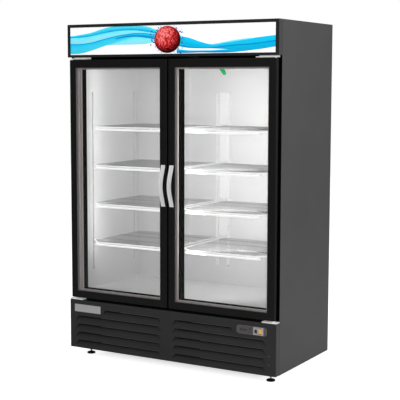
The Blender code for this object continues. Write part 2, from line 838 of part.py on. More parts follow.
def evaporator_coil(datum):
    """Finned evaporator block with the fan motor on its front."""
    low = (-0.320, 0.370, EVAPORATOR_BOTTOM + SHEET + 0.020)
    high = (0.320, 0.520, CAVITY_TOP - 2 * GAP)
    coil = block("evaporator_coil", low, high, "aluminium", datum)
    motor_length = low[1] - COLD_FAN[1] - 0.009
    motor_middle = low[1] - motor_length / 2 + 0.001
    round_tool(
        coil, "motor", (COLD_FAN[0], motor_middle, COLD_FAN[2]), 0.020, motor_length,
        "Y", "UNION", datum, segments=16,
    )
    grooves = []
    for number in range(-5, 6):
        x = number * 0.055
        groove_low = (x - 0.005, high[1] - 0.040, low[2] - PAST)
        groove_high = (x + 0.005, high[1] + PAST, high[2] - 0.015)
        grooves.append((groove_low, groove_high))
    cut_boxes(coil, "fin_gaps", grooves, datum)


def temperature_probe(datum):
    """Green sensor capsule hanging at a slant under the evaporator cover."""
    radius, length, arc = 0.0092, 0.056, 4
    profile = [(0.0, 0.0), (radius, 0.0)]
    for step in range(arc + 1):
        angle = math.pi / 2 * step / arc
        drop = length - radius + radius * math.sin(angle)
        profile.append((radius * math.cos(angle), -drop))
    profile[-1] = (0.0, -length)
    at = (0.167, 0.300, EVAPORATOR_BOTTOM - 0.0062)
    probe = turned("temperature_probe", profile, at, "green", datum, steps=12)
    probe.rotation_euler = (0.0, -math.radians(38), 0.0)


# ---------------------------------------------------------------- shelves


def shelf(name, side, level, datum):
    """Wire shelf: rim, rods from front to back, and a lower front rail."""
    near, far = mirrored(side, SHELF_INNER_X, SHELF_OUTER_X)
    low = (near, SHELF_FRONT, level - SHELF_THICKNESS)
    high = (far, SHELF_BACK, level)
    carrier = add_axis(f"{name}_axis", middle(low, high), datum)
    deck = block(name, low, high, "wire_white", carrier)
    bm = bmesh.new()
    bm.from_mesh(deck.data)
    corners = [
        edge
        for edge in bm.edges
        if all(vert.co.y < 0 for vert in edge.verts)
        and abs(edge.verts[0].co.z - edge.verts[1].co.z) > SHELF_THICKNESS / 2
    ]
    bmesh.ops.bevel(
        bm, geom=corners, offset=SHELF_CORNER, segments=1, affect="EDGES"
    )
    bm.to_mesh(deck.data)
    bm.free()
    gaps, rod = 11, 0.010
    first, last = near + SHELF_RIM, far - SHELF_RIM
    pitch = (last - first + rod) / gaps
    slots = []
    for number in range(gaps):
        left = first + number * pitch
        slots.append(
            (
                (left, SHELF_FRONT + SHELF_CORNER + SHELF_RIM, level - PAST),
                (left + pitch - rod, SHELF_BACK - SHELF_RIM, level + PAST),
            )
        )
    cut_boxes(deck, "gaps", slots, carrier)
    front_rail(deck, side, level, carrier)


def front_rail(deck, side, level, carrier):
    """Lower front rail on three short posts under the deck."""
    front, back = 0.072, 0.078
    bottom, top = level - 0.024, level - 0.018
    near, far = mirrored(side, 0.060, 0.562)
    join_boxes(deck, "posts", [
        ((x - 0.003, front + 0.001, top - 0.003), (x + 0.003, back - 0.001, level - 0.003))
        for x in (side * 0.090, side * 0.311, side * 0.532)
    ], carrier)
    join_boxes(deck, "rail", [((near, front, bottom), (far, back, top))], carrier)


def pilaster(name, low, high, clips, datum):
    """Upright with a clip under each shelf level. Clips are (low, high) plans."""
    upright = block(name, low, high, "liner_white", datum)
    boxes = []
    for level in SHELF_LEVELS:
        top = level - SHELF_THICKNESS - GAP
        for (left, front), (right, back) in clips:
            boxes.append(((left, front, top - 0.006), (right, back, top)))
    join_boxes(upright, "clips", boxes, datum)


def pilasters(datum):
    """Side pilasters on the liner walls, double ones in the middle."""
    wall = CAVITY_HALF_WIDTH - GAP
    thickness, reach = 0.009, 0.032
    for word, side in SIDES.items():
        for place_word, y in (("front", 0.155), ("rear", 0.600)):
            near, far = mirrored(side, wall - thickness, wall)
            low = (near, y - 0.008, PILASTER_BOTTOM)
            high = (far, y + 0.008, PILASTER_TOP)
            clip_near, clip_far = mirrored(side, wall - reach, wall - 0.002)
            clip = ((clip_near, y - 0.005), (clip_far, y + 0.005))
            pilaster(f"pilaster_{word}_{place_word}", low, high, [clip], datum)
    double = 0.046
    for place_word, wall_y, into in (
        ("front", FRAME_BACK + GAP, 1),
        ("rear", CAVITY_BACK - GAP, -1),
    ):
        face = wall_y + into * 0.007
        tip = wall_y + into * 0.050
        low = (-double, min(wall_y, face), PILASTER_BOTTOM)
        high = (double, max(wall_y, face), PILASTER_TOP)
        inner = wall_y + into * 0.002
        clips = [
            ((side * 0.036 - 0.006, min(inner, tip)), (side * 0.036 + 0.006, max(inner, tip)))
            for side in SIDES.values()
        ]
        pilaster(f"pilaster_centre_{place_word}", low, high, clips, datum)


# ---------------------------------------------------------------- doors


def ring(name, outer, inner, finish_name, carrier):
    """A rectangular frame between two boxes; the inner one is cut out."""
    part = block(name, *outer, finish_name, carrier)
    cut_boxes(part, "opening", [inner], carrier)
    return part


def door_frame(name, side, carrier):
    """Frame with a front lip and a rebate behind it for the glass unit."""
    near, far = mirrored(side, DOOR_INNER_X, DOOR_OUTER_X)
    low, high = (near, 0.0, DOOR_BOTTOM), (far, DOOR_DEPTH, DOOR_TOP)
    frame = block(name, low, high, "door_black", carrier)
    round_edges(frame, 0.005, segments=3)
    sight = (
        (near + STILE, -PAST, DOOR_BOTTOM + BOTTOM_RAIL),
        (far - STILE, DOOR_DEPTH + PAST, DOOR_TOP - TOP_RAIL),
    )
    cut_boxes(frame, "sight_opening", [sight], carrier)
    rebate = (
        (near + STILE - REBATE, LIP_DEPTH, DOOR_BOTTOM + BOTTOM_RAIL - REBATE),
        (far - STILE + REBATE, DOOR_DEPTH + PAST, DOOR_TOP - TOP_RAIL + REBATE),
    )
    cut_boxes(frame, "rebate", [rebate], carrier)
    clear_radius = PIN_RADIUS + 0.0004
    for label, height in (("bottom", DOOR_BOTTOM), ("top", DOOR_TOP)):
        round_tool(
            frame, f"{label}_pin_hole", (side * HINGE_X, HINGE_Y, height), clear_radius,
            2 * PIN_LENGTH + 0.002, "Z", "DIFFERENCE", carrier, segments=16,
        )


def glass_unit(word, side, carrier):
    """Two panes with an aluminium spacer ring between them."""
    near, far = mirrored(side, DOOR_INNER_X, DOOR_OUTER_X)
    tuck = REBATE - GAP
    left, right = near + STILE - tuck, far - STILE + tuck
    bottom, top = DOOR_BOTTOM + BOTTOM_RAIL - tuck, DOOR_TOP - TOP_RAIL + tuck
    front = LIP_DEPTH + GAP
    block(
        f"{word}_door_outer_glass",
        (left, front, bottom), (right, front + GLASS, top), "glass", carrier,
    )
    edge = tuck - SPACER_HIDDEN
    inner = edge + SPACER_WIDTH
    y0 = front + GLASS + GAP
    y1 = y0 + SPACER_DEPTH
    ring(
        f"{word}_door_spacer",
        ((left + edge, y0, bottom + edge), (right - edge, y1, top - edge)),
        ((left + inner, y0 - PAST, bottom + inner), (right - inner, y1 + PAST, top - inner)),
        "aluminium", carrier,
    )
    y2 = y1 + GAP
    block(
        f"{word}_door_inner_glass",
        (left, y2, bottom), (right, y2 + GLASS, top), "glass", carrier,
    )


def door_gasket(word, side, carrier):
    """Seal around the back of a door, closing on the face frame."""
    near, far = mirrored(side, DOOR_INNER_X, DOOR_OUTER_X)
    front, back = DOOR_DEPTH + GAP, FRAME_FRONT - 2 * GAP
    outer = (
        (near + GASKET_INSET, front, DOOR_BOTTOM + GASKET_INSET),
        (far - GASKET_INSET, back, DOOR_TOP - GASKET_INSET),
    )
    inset = GASKET_INSET + GASKET_WIDTH
    inner = (
        (near + inset, front - PAST, DOOR_BOTTOM + inset),
        (far - inset, back + PAST, DOOR_TOP - inset),
    )
    ring(f"{word}_door_gasket", outer, inner, "gasket", carrier)


def door_handle(word, side, carrier):
    """Vertical bow handle; its ends stand on the stile."""
    half = (HANDLE_TOP - HANDLE_BOTTOM) / 2
    end_reach, thickness, foot = 0.013, 0.011, 0.034
    steps = 12
    outer, inner = [], []
    for step in range(steps + 1):
        along = -1.0 + 2.0 * step / steps
        rise = math.cos(along * math.pi / 2) ** 1.3
        reach = end_reach + (HANDLE_REACH - end_reach) * rise
        outer.append((reach, along * half))
        height = along * (half - foot)
        clear = end_reach - thickness + (HANDLE_REACH - end_reach) * rise
        inner.append((max(clear, 0.002), height))
    base = [(GAP, half), (GAP, half - foot)]
    lower_base = [(GAP, -half + foot), (GAP, -half)]
    outline = outer + base + inner[-2:0:-1] + lower_base
    at = (side * HANDLE_X, 0.0, (HANDLE_BOTTOM + HANDLE_TOP) / 2)
    handle = outline_part(
        f"{word}_door_handle", outline, HANDLE_WIDTH, at, "chrome", carrier
    )
    round_edges(handle, 0.0015, segments=1, angle=50)


def hinges(word, side, datum):
    """Fixed hinge plates above and below a door, each with its pin."""
    seat = FRAME_FRONT - GAP
    near, far = mirrored(side, 0.548, 0.670)
    plate, bottom = 0.004, DOOR_TOP + 0.0035
    top_hinge = block(
        f"{word}_top_hinge", (near, 0.003, bottom), (far, seat, bottom + plate),
        "hinge_steel", datum,
    )
    flange = ((near + 0.001, seat - 0.003, bottom + 0.001), (far - 0.001, seat, HEADER_BOTTOM - GAP))
    join_boxes(top_hinge, "flange", [flange], datum)
    reach = bottom - (DOOR_TOP - PIN_LENGTH) + plate / 2
    round_tool(
        top_hinge, "pin", (side * HINGE_X, HINGE_Y, bottom + plate / 2 - reach / 2),
        PIN_RADIUS, reach, "Z", "UNION", datum, segments=16,
    )
    near, far = mirrored(side, 0.596, HALF_WIDTH - 0.001)
    low = BASE_TOP + 0.002
    plate = 0.005
    bottom_hinge = block(
        f"{word}_bottom_hinge",
        (near, 0.002, low), (far, FRONT_BOX_DEPTH - GAP, low + plate), "hinge_steel", datum,
    )
    near, far = mirrored(side, 0.600, 0.678)
    tongue = ((near, 0.040, low + 0.001), (far, seat, low + plate - 0.001))
    join_boxes(bottom_hinge, "tongue", [tongue], datum)
    collar_top = DOOR_BOTTOM - 0.0015
    round_tool(
        bottom_hinge, "collar", (side * HINGE_X, HINGE_Y, (low + collar_top + plate / 2) / 2),
        0.009, collar_top - low - plate / 2, "Z", "UNION", datum, segments=16,
    )
    reach = DOOR_BOTTOM + PIN_LENGTH - low - plate / 2
    round_tool(
        bottom_hinge, "pin", (side * HINGE_X, HINGE_Y, low + plate / 2 + reach / 2),
        PIN_RADIUS, reach, "Z", "UNION", datum, segments=16,
    )


def door(word, side, datum):
    """One door with everything that swings on it."""
    axis = add_axis(f"{word}_door_axis", (side * HINGE_X, HINGE_Y, DOOR_BOTTOM), datum)
    door_frame(f"{word}_door_frame", side, axis)
    glass_unit(word, side, axis)
    door_gasket(word, side, axis)
    door_handle(word, side, axis)
    hinges(word, side, datum)


# ---------------------------------------------------------------- assembly


def build():
    """Models the whole merchandiser."""
    front_plane = (HANDLE_REACH - DEPTH) / 2
    datum = add_axis("cabinet_datum", (0.0, front_plane, FOOT_HEIGHT))
    outer_cabinet(datum)
    back_panel(datum)
    foam_insulation(datum)
    inner_liner(datum)
    face_frame(datum)
    header_housing(datum)
    sign_panel(datum)
    sign_lamp(datum)
    base_pan(datum)
    feet(datum)
    front_grille(datum)
    name_plate(datum)
    rear_grille(datum)
    control_bezel(datum)
    thermostat(datum)
    thermostat_button(datum)
    rocker_switch("light_switch", "display", datum)
    rocker_switch("power_switch", "amber", datum)
    compressor(datum)
    condenser(datum)
    fan_x = sum(CONDENSER_X) / 2
    fan_z = (SHEET + GAP + CONDENSER_TOP) / 2
    fan_at = (fan_x, CONDENSER_FAN_Y, fan_z)
    fan("condenser_fan", fan_at, CONDENSER_FAN_RADIUS, 0.028, 5, datum)
    evaporator_housing(datum)
    evaporator_coil(datum)
    fan("evaporator_fan", COLD_FAN, COLD_FAN_RADIUS, 0.020, 4, datum)
    temperature_probe(datum)
    pilasters(datum)
    for word, side in SIDES.items():
        led_bar(f"led_bar_{word}", side, datum)
        door(word, side, datum)
        for number, level in enumerate(SHELF_LEVELS, start=1):
            shelf(f"shelf_{word}_{number}", side, level, datum)


clear_scene()
PARTS = make_collection("glass_door_merchandiser")
TOOLS = make_collection("cutters")
build()
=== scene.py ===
"""Looks of a two-door glass merchandiser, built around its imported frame.

Units are metres and +Z is up. Places are worked out from the boxes of the
frame's nodes. The X of the louvres' ends and of the middle uprights' channels
are fixed numbers. Fine shapes that the frame's solids stand for, such as round
shelf wires, slotted uprights and door seals, are made here as meshes.
"""

import random
from math import cos, pi, radians, sin

import bmesh
import bpy
from mathutils import Matrix, Vector


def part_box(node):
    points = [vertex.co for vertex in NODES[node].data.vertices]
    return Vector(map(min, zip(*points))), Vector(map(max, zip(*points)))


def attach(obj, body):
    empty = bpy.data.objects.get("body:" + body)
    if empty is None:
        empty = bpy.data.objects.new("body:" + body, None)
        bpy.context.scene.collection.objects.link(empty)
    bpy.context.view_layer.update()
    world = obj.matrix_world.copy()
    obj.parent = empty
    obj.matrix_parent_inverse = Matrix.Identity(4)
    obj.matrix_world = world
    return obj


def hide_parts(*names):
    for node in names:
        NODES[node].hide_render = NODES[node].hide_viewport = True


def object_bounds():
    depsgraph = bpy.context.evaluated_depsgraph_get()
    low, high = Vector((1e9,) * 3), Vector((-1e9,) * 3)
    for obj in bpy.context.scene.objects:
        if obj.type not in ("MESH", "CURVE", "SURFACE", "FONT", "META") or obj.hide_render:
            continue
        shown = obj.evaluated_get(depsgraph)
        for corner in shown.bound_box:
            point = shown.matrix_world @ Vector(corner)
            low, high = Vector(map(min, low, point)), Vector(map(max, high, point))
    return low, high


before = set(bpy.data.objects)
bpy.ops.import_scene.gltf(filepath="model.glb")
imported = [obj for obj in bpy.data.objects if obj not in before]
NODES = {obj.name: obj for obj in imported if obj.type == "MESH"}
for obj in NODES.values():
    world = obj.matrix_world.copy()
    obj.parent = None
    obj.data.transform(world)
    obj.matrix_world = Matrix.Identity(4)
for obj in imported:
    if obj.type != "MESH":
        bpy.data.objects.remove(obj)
CAD_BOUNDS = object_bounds()
SIDES = {"left": -1, "right": 1}
SHELF_COUNT = 4
CLIP_DROP = 0.0123  # from the top of a shelf to the arms of its clips
FACE_LIFT = 0.0003  # how far a thin piece stands off the face it lies on
SIGN_GLOW = 0.55
TO_FRONT = Matrix.Rotation(pi / 2, 4, "X")  # turns +Z to -Y, the front
UP = Vector((0, 0, 1))
SIDE_TONE = (0.070, 0.070, 0.071)

# ---- materials


class Finish:
    """One material, with short names for building its nodes."""

    def __init__(self, name):
        self.material = bpy.data.materials.new(name)
        self.material.use_nodes = True
        self.tree = self.material.node_tree
        self.surface = self.tree.nodes["Principled BSDF"]
        self.output = self.tree.nodes["Material Output"]
        self.place = self.node("TexCoord").outputs["Object"]

    def node(self, kind, settings=None, **inputs):
        """A node with its settings, and its inputs set or linked by name."""
        made = self.tree.nodes.new("ShaderNode" + kind)
        for key, value in (settings or {}).items():
            setattr(made, key, value)
        for key, value in inputs.items():
            self.feed(made.inputs[key.replace("_", " ")], value)
        return made

    def feed(self, socket, value):
        """Links an output to a socket, or sets the socket's value."""
        if isinstance(value, bpy.types.NodeSocket):
            self.tree.links.new(value, socket)
        else:
            socket.default_value = value

    def set(self, **inputs):
        """Sets or links inputs of the Principled shader."""
        for key, value in inputs.items():
            self.feed(self.surface.inputs[key.replace("_", " ")], value)

    def noise(self, scale, detail=2.0, stretch=(1.0, 1.0, 1.0)):
        """Noise in object space, from 0 to 1, drawn out by the stretch."""
        mapping = self.node("Mapping", Vector=self.place, Scale=stretch)
        vector = mapping.outputs["Vector"]
        made = self.node("TexNoise", Vector=vector, Scale=scale, Detail=detail)
        return made.outputs["Fac"]

    def spread(self, factor, low, high, start=0.3, end=0.7):
        """Moves the range from start to end, a noise's middle one unless it is
        given, to the range from low to high."""
        made = self.node("MapRange", Value=factor, From_Min=start, From_Max=end,
                         To_Min=low, To_Max=high)
        return made.outputs["Result"]

    def blend(self, factor, first, second):
        """A colour between two colours."""
        made = self.node("Mix", {"data_type": "RGBA"})
        self.feed(made.inputs[0], factor)
        for socket, colour in ((made.inputs[6], first), (made.inputs[7], second)):
            self.feed(socket, (*colour, 1.0) if isinstance(colour, tuple) else colour)
        return made.outputs[2]

    def math(self, operation, first, second=0.0, clamp=False):
        """A Math node's result."""
        made = self.node("Math", {"operation": operation, "use_clamp": clamp})
        self.feed(made.inputs[0], first)
        self.feed(made.inputs[1], second)
        return made.outputs[0]


def scaled(colour, factor):
    """A colour made darker or lighter."""
    return tuple(min(1.0, channel * factor) for channel in colour)


def coat(name, colour, roughness, metallic=0.0, specular=0.5, mottle=0.06,
         grain=500.0, relief=0.00005, stretch=(1.0, 1.0, 1.0), glow=0.0, flank=None):
    """A surface with uneven colour and gloss, and a fine grain. A colour that is
    one number is a grey. A flank is the colour of the faces that lie in the planes
    of the cabinet's sides."""
    if isinstance(colour, float):
        colour = (colour, colour, colour)
    finish = Finish(name)
    broad = finish.noise(5.0, 3.0)
    shade = finish.spread(broad, 0.0, 1.0)
    tint = finish.blend(shade, scaled(colour, 1 - mottle), scaled(colour, 1 + mottle))
    if flank:
        place = finish.node("NewGeometry").outputs["Position"]
        across = finish.node("SeparateXYZ", Vector=place).outputs["X"]
        sideways = finish.math("ABSOLUTE", across)
        beside = finish.math("GREATER_THAN", sideways, CAD_BOUNDS[1][0] - FACE_LIFT)
        tint = finish.blend(beside, tint, flank)
    fine = finish.noise(grain, 3.0, stretch)
    gloss = finish.spread(fine, roughness * 0.85, min(1.0, roughness * 1.15))
    bump = finish.node("Bump", Height=fine, Distance=relief, Strength=0.6)
    finish.set(
        Base_Color=tint, Roughness=gloss, Metallic=metallic,
        Specular_IOR_Level=specular, Normal=bump.outputs["Normal"],
    )
    if glow:
        finish.set(Emission_Color=tint, Emission_Strength=glow)
    return finish.material


def clear_glass(name):
    """Polished pane: see-through, with a sheen that grows at a slant."""
    finish = Finish(name)
    film = finish.spread(finish.noise(3.0, 4.0), 0.975, 0.985)
    tint = finish.node("CombineColor", Red=film, Green=film, Blue=film)
    through = finish.node("BsdfTransparent", Color=tint.outputs["Color"])
    smear = finish.spread(finish.noise(9.0, 2.0), 0.01, 0.03)
    sheen = finish.node("BsdfGlossy", Roughness=smear)
    slant = finish.node("Fresnel", IOR=1.28)
    share = finish.math("MULTIPLY", slant.outputs["Fac"], 0.55)
    mixed = finish.node("MixShader", Fac=share)
    finish.feed(mixed.inputs[1], through.outputs["BSDF"])
    finish.feed(mixed.inputs[2], sheen.outputs["BSDF"])
    finish.feed(finish.output.inputs["Surface"], mixed.outputs["Shader"])
    return finish.material


def backlit(finish, ink):
    """Finishes a material as ink on the lit sign."""
    finish.set(
        Base_Color=ink, Roughness=0.5, Specular_IOR_Level=0.1,
        Emission_Color=ink, Emission_Strength=SIGN_GLOW,
    )
    return finish.material


def printed_band(name, deep, pale):
    """Translucent ink that runs from deep at one edge to pale at the other."""
    finish = Finish(name)
    layer = finish.node("UVMap", {"uv_map": "print"})
    axes = finish.node("SeparateXYZ", Vector=layer.outputs["UV"])
    across = axes.outputs["Y"]
    drift = finish.math("MULTIPLY", finish.noise(6.0, 2.0, (1.0, 1.0, 4.0)), 0.5)
    edge = finish.math("ADD", finish.math("SUBTRACT", across, 0.25), drift, clamp=True)
    return backlit(finish, finish.blend(edge, deep, pale))


def printed_ball(name, centre, radius):
    """A print of a red ball lit from the upper left, with shallow dimples."""
    finish = Finish(name)
    offset = finish.node("VectorMath", {"operation": "SUBTRACT"})
    finish.feed(offset.inputs[0], finish.place)
    offset.inputs[1].default_value = centre
    shrink = finish.node("VectorMath", {"operation": "DIVIDE"})
    finish.feed(shrink.inputs[0], offset.outputs[0])
    shrink.inputs[1].default_value = (radius[0], 1.0, radius[1])
    flat = finish.node("SeparateXYZ", Vector=shrink.outputs[0])
    across, up = flat.outputs["X"], flat.outputs["Z"]
    squares = finish.math(
        "ADD", finish.math("MULTIPLY", across, across), finish.math("MULTIPLY", up, up)
    )
    bulge = finish.math("SQRT", finish.math("SUBTRACT", 1.0, squares, clamp=True))
    round_place = finish.node("CombineXYZ", X=across, Y=bulge, Z=up)
    dimples = finish.node("TexVoronoi", Vector=round_place.outputs[0], Scale=7.0)
    lit = finish.math("MULTIPLY", across, -0.30)
    lit = finish.math("ADD", lit, finish.math("MULTIPLY", up, 0.42))
    lit = finish.math("ADD", lit, finish.math("MULTIPLY", bulge, 0.80))
    pit = finish.math("MULTIPLY", dimples.outputs["Distance"], 0.80)
    lit = finish.math("SUBTRACT", finish.math("ADD", lit, 0.28), pit, clamp=True)
    ink = finish.blend(lit, (0.030, 0.0005, 0.001), (0.76, 0.014, 0.018))
    shine = finish.math("POWER", lit, 4.0)
    glint = finish.math("MULTIPLY", shine, 1.4, clamp=True)
    return backlit(finish, finish.blend(glint, ink, (0.92, 0.24, 0.24)))


STEEL_SIDE = coat("dark_powder_coat", SIDE_TONE, 0.48, grain=900.0, relief=0.00012)
DOOR_BLACK = coat("door_black_satin", (0.0085, 0.0085, 0.0088), 0.42, specular=0.16)
TRIM_BLACK = coat("trim_black_satin", (0.020, 0.020, 0.021), 0.45, specular=0.25, flank=SIDE_TONE)
FRAME_BLACK = coat("frame_black_plastic", 0.0022, 0.70, specular=0.0, relief=0.00001)
GRILLE_BLACK = coat(
    "grille_black_plastic", (0.032, 0.032, 0.033), 0.46, specular=0.28, grain=1400.0,
    relief=0.0001, flank=SIDE_TONE,
)
# painted highlight: a grey lighter than the grille's black, for the light caught on the louvre
# edges
LIP_HIGHLIGHT_GREY = coat("louvre_lip_painted_highlight", (0.150, 0.150, 0.152), 0.40, specular=0.3)
# painted shade: a near-black sheet behind the louvres stands in for the shade in their slots
SCREEN_SHADE_BLACK = coat("screen_black_painted_shade", 0.006, 0.80, specular=0.05)
LINER_WHITE = coat("liner_white_sheet", 0.84, 0.34, mottle=0.015, grain=260.0)
# painted light: the white wire coating glows though it is no lamp, to brighten the shelf rods and
# the fan guard
WIRE_WHITE_GLOWING = coat("white_wire_painted_glow", 0.93, 0.30, mottle=0.02, glow=0.75)
# painted shade: the deck wires are white like the rods, coloured dark grey for the shade they lie
# in
DECK_SHADED_WHITE = coat("white_deck_painted_shade", 0.42, 0.40, mottle=0.03)
RIM_WHITE = coat("white_rim_coating", 0.84, 0.36, mottle=0.03)
RAIL_SIDE = coat("upright_side_steel", 0.90, 0.36, mottle=0.03)
# painted light: the middle uprights' white steel glows faintly though it is no lamp
RAIL_CENTRE_GLOWING = coat("upright_centre_painted_glow", 0.93, 0.36, mottle=0.03, glow=0.06)
GALVANISED = coat(
    "galvanised_sheet", (0.56, 0.57, 0.58), 0.42, metallic=0.75, mottle=0.06, grain=90.0
)
ALUMINIUM = coat(
    "drawn_aluminium", (0.62, 0.57, 0.56), 0.44, metallic=0.1, grain=300.0,
    stretch=(1.0, 1.0, 0.02),
)
LAMP_CHANNEL = coat(
    "lamp_channel_aluminium", (0.30, 0.27, 0.265), 0.42, metallic=0.1, grain=300.0,
    stretch=(1.0, 1.0, 0.02), glow=0.58,
)
# painted light: the handle's satin silver glows faintly though it is no lamp
HANDLE_SILVER_GLOWING = coat(
    "handle_satin_silver_painted_glow", 0.84, 0.38, metallic=0.15, grain=420.0,
    stretch=(1.0, 1.0, 0.015), glow=0.12,
)
ZINC = coat("zinc_plate", (0.86, 0.86, 0.87), 0.30, metallic=0.35, mottle=0.08, grain=200.0)
# painted light: the hinge plates glow, to stay bright in the shade under the header and above the
# grille
HINGE_ZINC_GLOWING = coat("hinge_zinc_painted_glow", 0.86, 0.34, metallic=0.2, grain=200.0, glow=0.30)
SCREW_STEEL = coat("screw_steel", (0.40, 0.40, 0.41), 0.30, metallic=0.8, grain=800.0)
SCREW_BLACK = coat("blackened_screw", (0.110, 0.110, 0.112), 0.35, metallic=0.3)
SEAL_BLACK = coat("door_seal_vinyl", 0.014, 0.65, specular=0.1, grain=700.0)
BEAD_GREY = coat("glazing_bead_vinyl", (0.200, 0.184, 0.184), 0.50, specular=0.2, grain=700.0)
PANEL_GREY = coat("control_panel_grey", (0.125, 0.117, 0.115), 0.42, grain=1200.0)
SMOKED = coat(
    "smoked_window", (0.058, 0.054, 0.055), 0.34, mottle=0.02, grain=300.0, relief=0.00001
)
SWITCH_WHITE = coat("switch_frame_white", (0.72, 0.71, 0.69), 0.36)
SWITCH_BLACK = coat("switch_black", (0.022, 0.020, 0.020), 0.30)
SWITCH_AMBER = coat("switch_amber", (0.88, 0.33, 0.01), 0.30, specular=0.2, glow=0.40)
KEY_GREY = coat("key_grey", (0.20, 0.19, 0.19), 0.42)
PEG_GREEN = coat("peg_green", (0.001, 0.27, 0.060), 0.40, specular=0.2)
FOOT_BLACK = coat("foot_black_coat", 0.010, 0.50, specular=0.3)
PLATE_SILVER = coat(
    "blank_plate_silver", 0.62, 0.32, metallic=0.35, grain=500.0,
    stretch=(0.02, 1.0, 1.0),
)
MOTOR_BLACK = coat("motor_enamel", (0.015, 0.015, 0.016), 0.34, metallic=0.2)
FIN_ALUMINIUM = coat("fin_aluminium", (0.48, 0.49, 0.50), 0.40, metallic=0.7, mottle=0.1)
FOAM = coat("foam_yellow", (0.72, 0.60, 0.34), 0.90, grain=160.0, relief=0.0006)
SIGN_WHITE = coat("sign_white_acrylic", (0.93, 0.94, 0.95), 0.30, mottle=0.01, glow=SIGN_GLOW)
LAMP_GLOW = coat("lamp_opal", (0.95, 0.97, 1.0), 0.30, mottle=0.01, glow=1.2)
GLASS = clear_glass("door_glass")


def dress(material, *names):
    """Puts a material in every slot of some of the frame's nodes."""
    for name in names:
        for slot in NODES[name].material_slots:
            slot.material = material


# ---- mesh helpers


def new_object(name, data):
    """An object in the scene with its data."""
    obj = bpy.data.objects.new(name, data)
    bpy.context.scene.collection.objects.link(obj)
    return obj


def to_mesh(bm, name, outward=True):
    """Turns a bmesh into a mesh and frees it. The faces of a closed shape are
    turned to point out."""
    if outward:
        bmesh.ops.recalc_face_normals(bm, faces=bm.faces)
    mesh = bpy.data.meshes.new(name)
    bm.to_mesh(mesh)
    bm.free()
    return mesh


def add_piece(name, shape, material, body, replaced=(), sharp=35.0):
    """A piece that rides on a body, smooth except at its sharp edges. Its shape
    is a mesh or a bmesh."""
    mesh = to_mesh(shape, name) if isinstance(shape, bmesh.types.BMesh) else shape
    obj = new_object(name, mesh)
    mesh.materials.append(material)
    mesh.shade_smooth()
    mesh.set_sharp_from_angle(angle=radians(sharp))
    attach(obj, body)
    if replaced:
        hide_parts(*replaced)
    return obj


def sheet(obj, thickness, offset=0.0):
    """Gives a thin surface a thickness."""
    modifier = obj.modifiers.new("sheet", "SOLIDIFY")
    modifier.thickness = thickness
    modifier.offset = offset


def rounded(obj, width, segments=3, angle=35.0):
    """Rounds a piece's sharp edges."""
    modifier = obj.modifiers.new("rounded_edges", "BEVEL")
    modifier.width = width
    modifier.segments = segments
    modifier.limit_method = "ANGLE"
    modifier.angle_limit = radians(angle)


def add_box(bm, low, high):
    """A box between two corners."""
    low, high = Vector(low), Vector(high)
    spot = Matrix.Translation((low + high) / 2)
    size = Matrix.Diagonal((*(high - low), 1.0))
    return bmesh.ops.create_cube(bm, size=1.0, matrix=spot @ size)["verts"]


def bridge(bm, rings):
    """Joins each ring of vertices to the next one with quads."""
    for first, second in zip(rings, rings[1:]):
        for k in range(len(first)):
            after = (k + 1) % len(first)
            bm.faces.new((first[k], first[after], second[after], second[k]))


def mitred_ring(bm, low, high, profile):
    """A rectangular ring in XZ with mitred corners, from a closed profile of
    (inset from the rectangle, y)."""
    loops = []
    for inset, y in profile:
        x0, x1 = low[0] + inset, high[0] - inset
        z0, z1 = low[1] + inset, high[1] - inset
        corners = ((x0, y, z0), (x1, y, z0), (x1, y, z1), (x0, y, z1))
        loops.append([bm.verts.new(corner) for corner in corners])
    bridge(bm, loops + loops[:1])


def turned(bm, profile, spot, steps=40):
    """Turns a profile of (radius, height) about Z and moves it to its spot.
    The profile's ends lie on the axis."""
    rings = []
    for radius, height in profile:
        if radius == 0.0:
            rings.append([bm.verts.new(spot @ Vector((0.0, 0.0, height)))])
            continue
        angles = [2 * pi * k / steps for k in range(steps)]
        rings.append([
            bm.verts.new(spot @ Vector((radius * cos(a), radius * sin(a), height)))
            for a in angles
        ])
    for first, second in zip(rings, rings[1:]):
        for k in range(steps):
            after = (k + 1) % steps
            corners = [first[k % len(first)], first[after % len(first)],
                       second[after % len(second)], second[k % len(second)]]
            bm.faces.new(list(dict.fromkeys(corners)))


def loft(bm, sections):
    """Joins closed sections of equal length and closes both ends."""
    rings = [[bm.verts.new(point) for point in section] for section in sections]
    bridge(bm, rings)
    bm.faces.new(rings[0])
    bm.faces.new(rings[-1])


def wire_mesh(name, runs):
    """Round wires as one welded mesh. A run is (points, radius), with a third
    entry if the wire is a closed ring."""
    unit = 0.001
    curve = bpy.data.curves.new(name, "CURVE")
    curve.dimensions = "3D"
    curve.bevel_depth = unit
    curve.bevel_resolution = 3
    curve.use_fill_caps = True
    for points, radius, *closed in runs:
        spline = curve.splines.new("POLY")
        spline.points.add(len(points) - 1)
        spline.use_cyclic_u = bool(closed)
        for point, place in zip(spline.points, points):
            point.co = (*place, 1.0)
            point.radius = radius / unit
    guide = new_object(name, curve)
    evaluated = guide.evaluated_get(bpy.context.evaluated_depsgraph_get())
    made = bpy.data.meshes.new_from_object(evaluated)
    bpy.data.objects.remove(guide)
    made.materials.clear()
    bm = bmesh.new()
    bm.from_mesh(made)
    bmesh.ops.remove_doubles(bm, verts=bm.verts, dist=0.00001)
    bpy.data.meshes.remove(made)
    return to_mesh(bm, name)


def bend(corner, before, after, radius, steps=5):
    """Points along a rounded corner of a path that turns at the corner."""
    inward, outward = (before - corner).normalized(), (after - corner).normalized()
    start, end = corner + inward * radius, corner + outward * radius
    points = []
    for k in range(steps + 1):
        t = k / steps
        points.append(start * (1 - t) ** 2 + corner * 2 * t * (1 - t) + end * t ** 2)
    return points


def rounded_path(points, radius):
    """An open path with its corners rounded."""
    path = [points[0]]
    for before, point, after in zip(points, points[1:], points[2:]):
        path += bend(point, before, after, radius)
    return path + [points[-1]]


# ---- screws


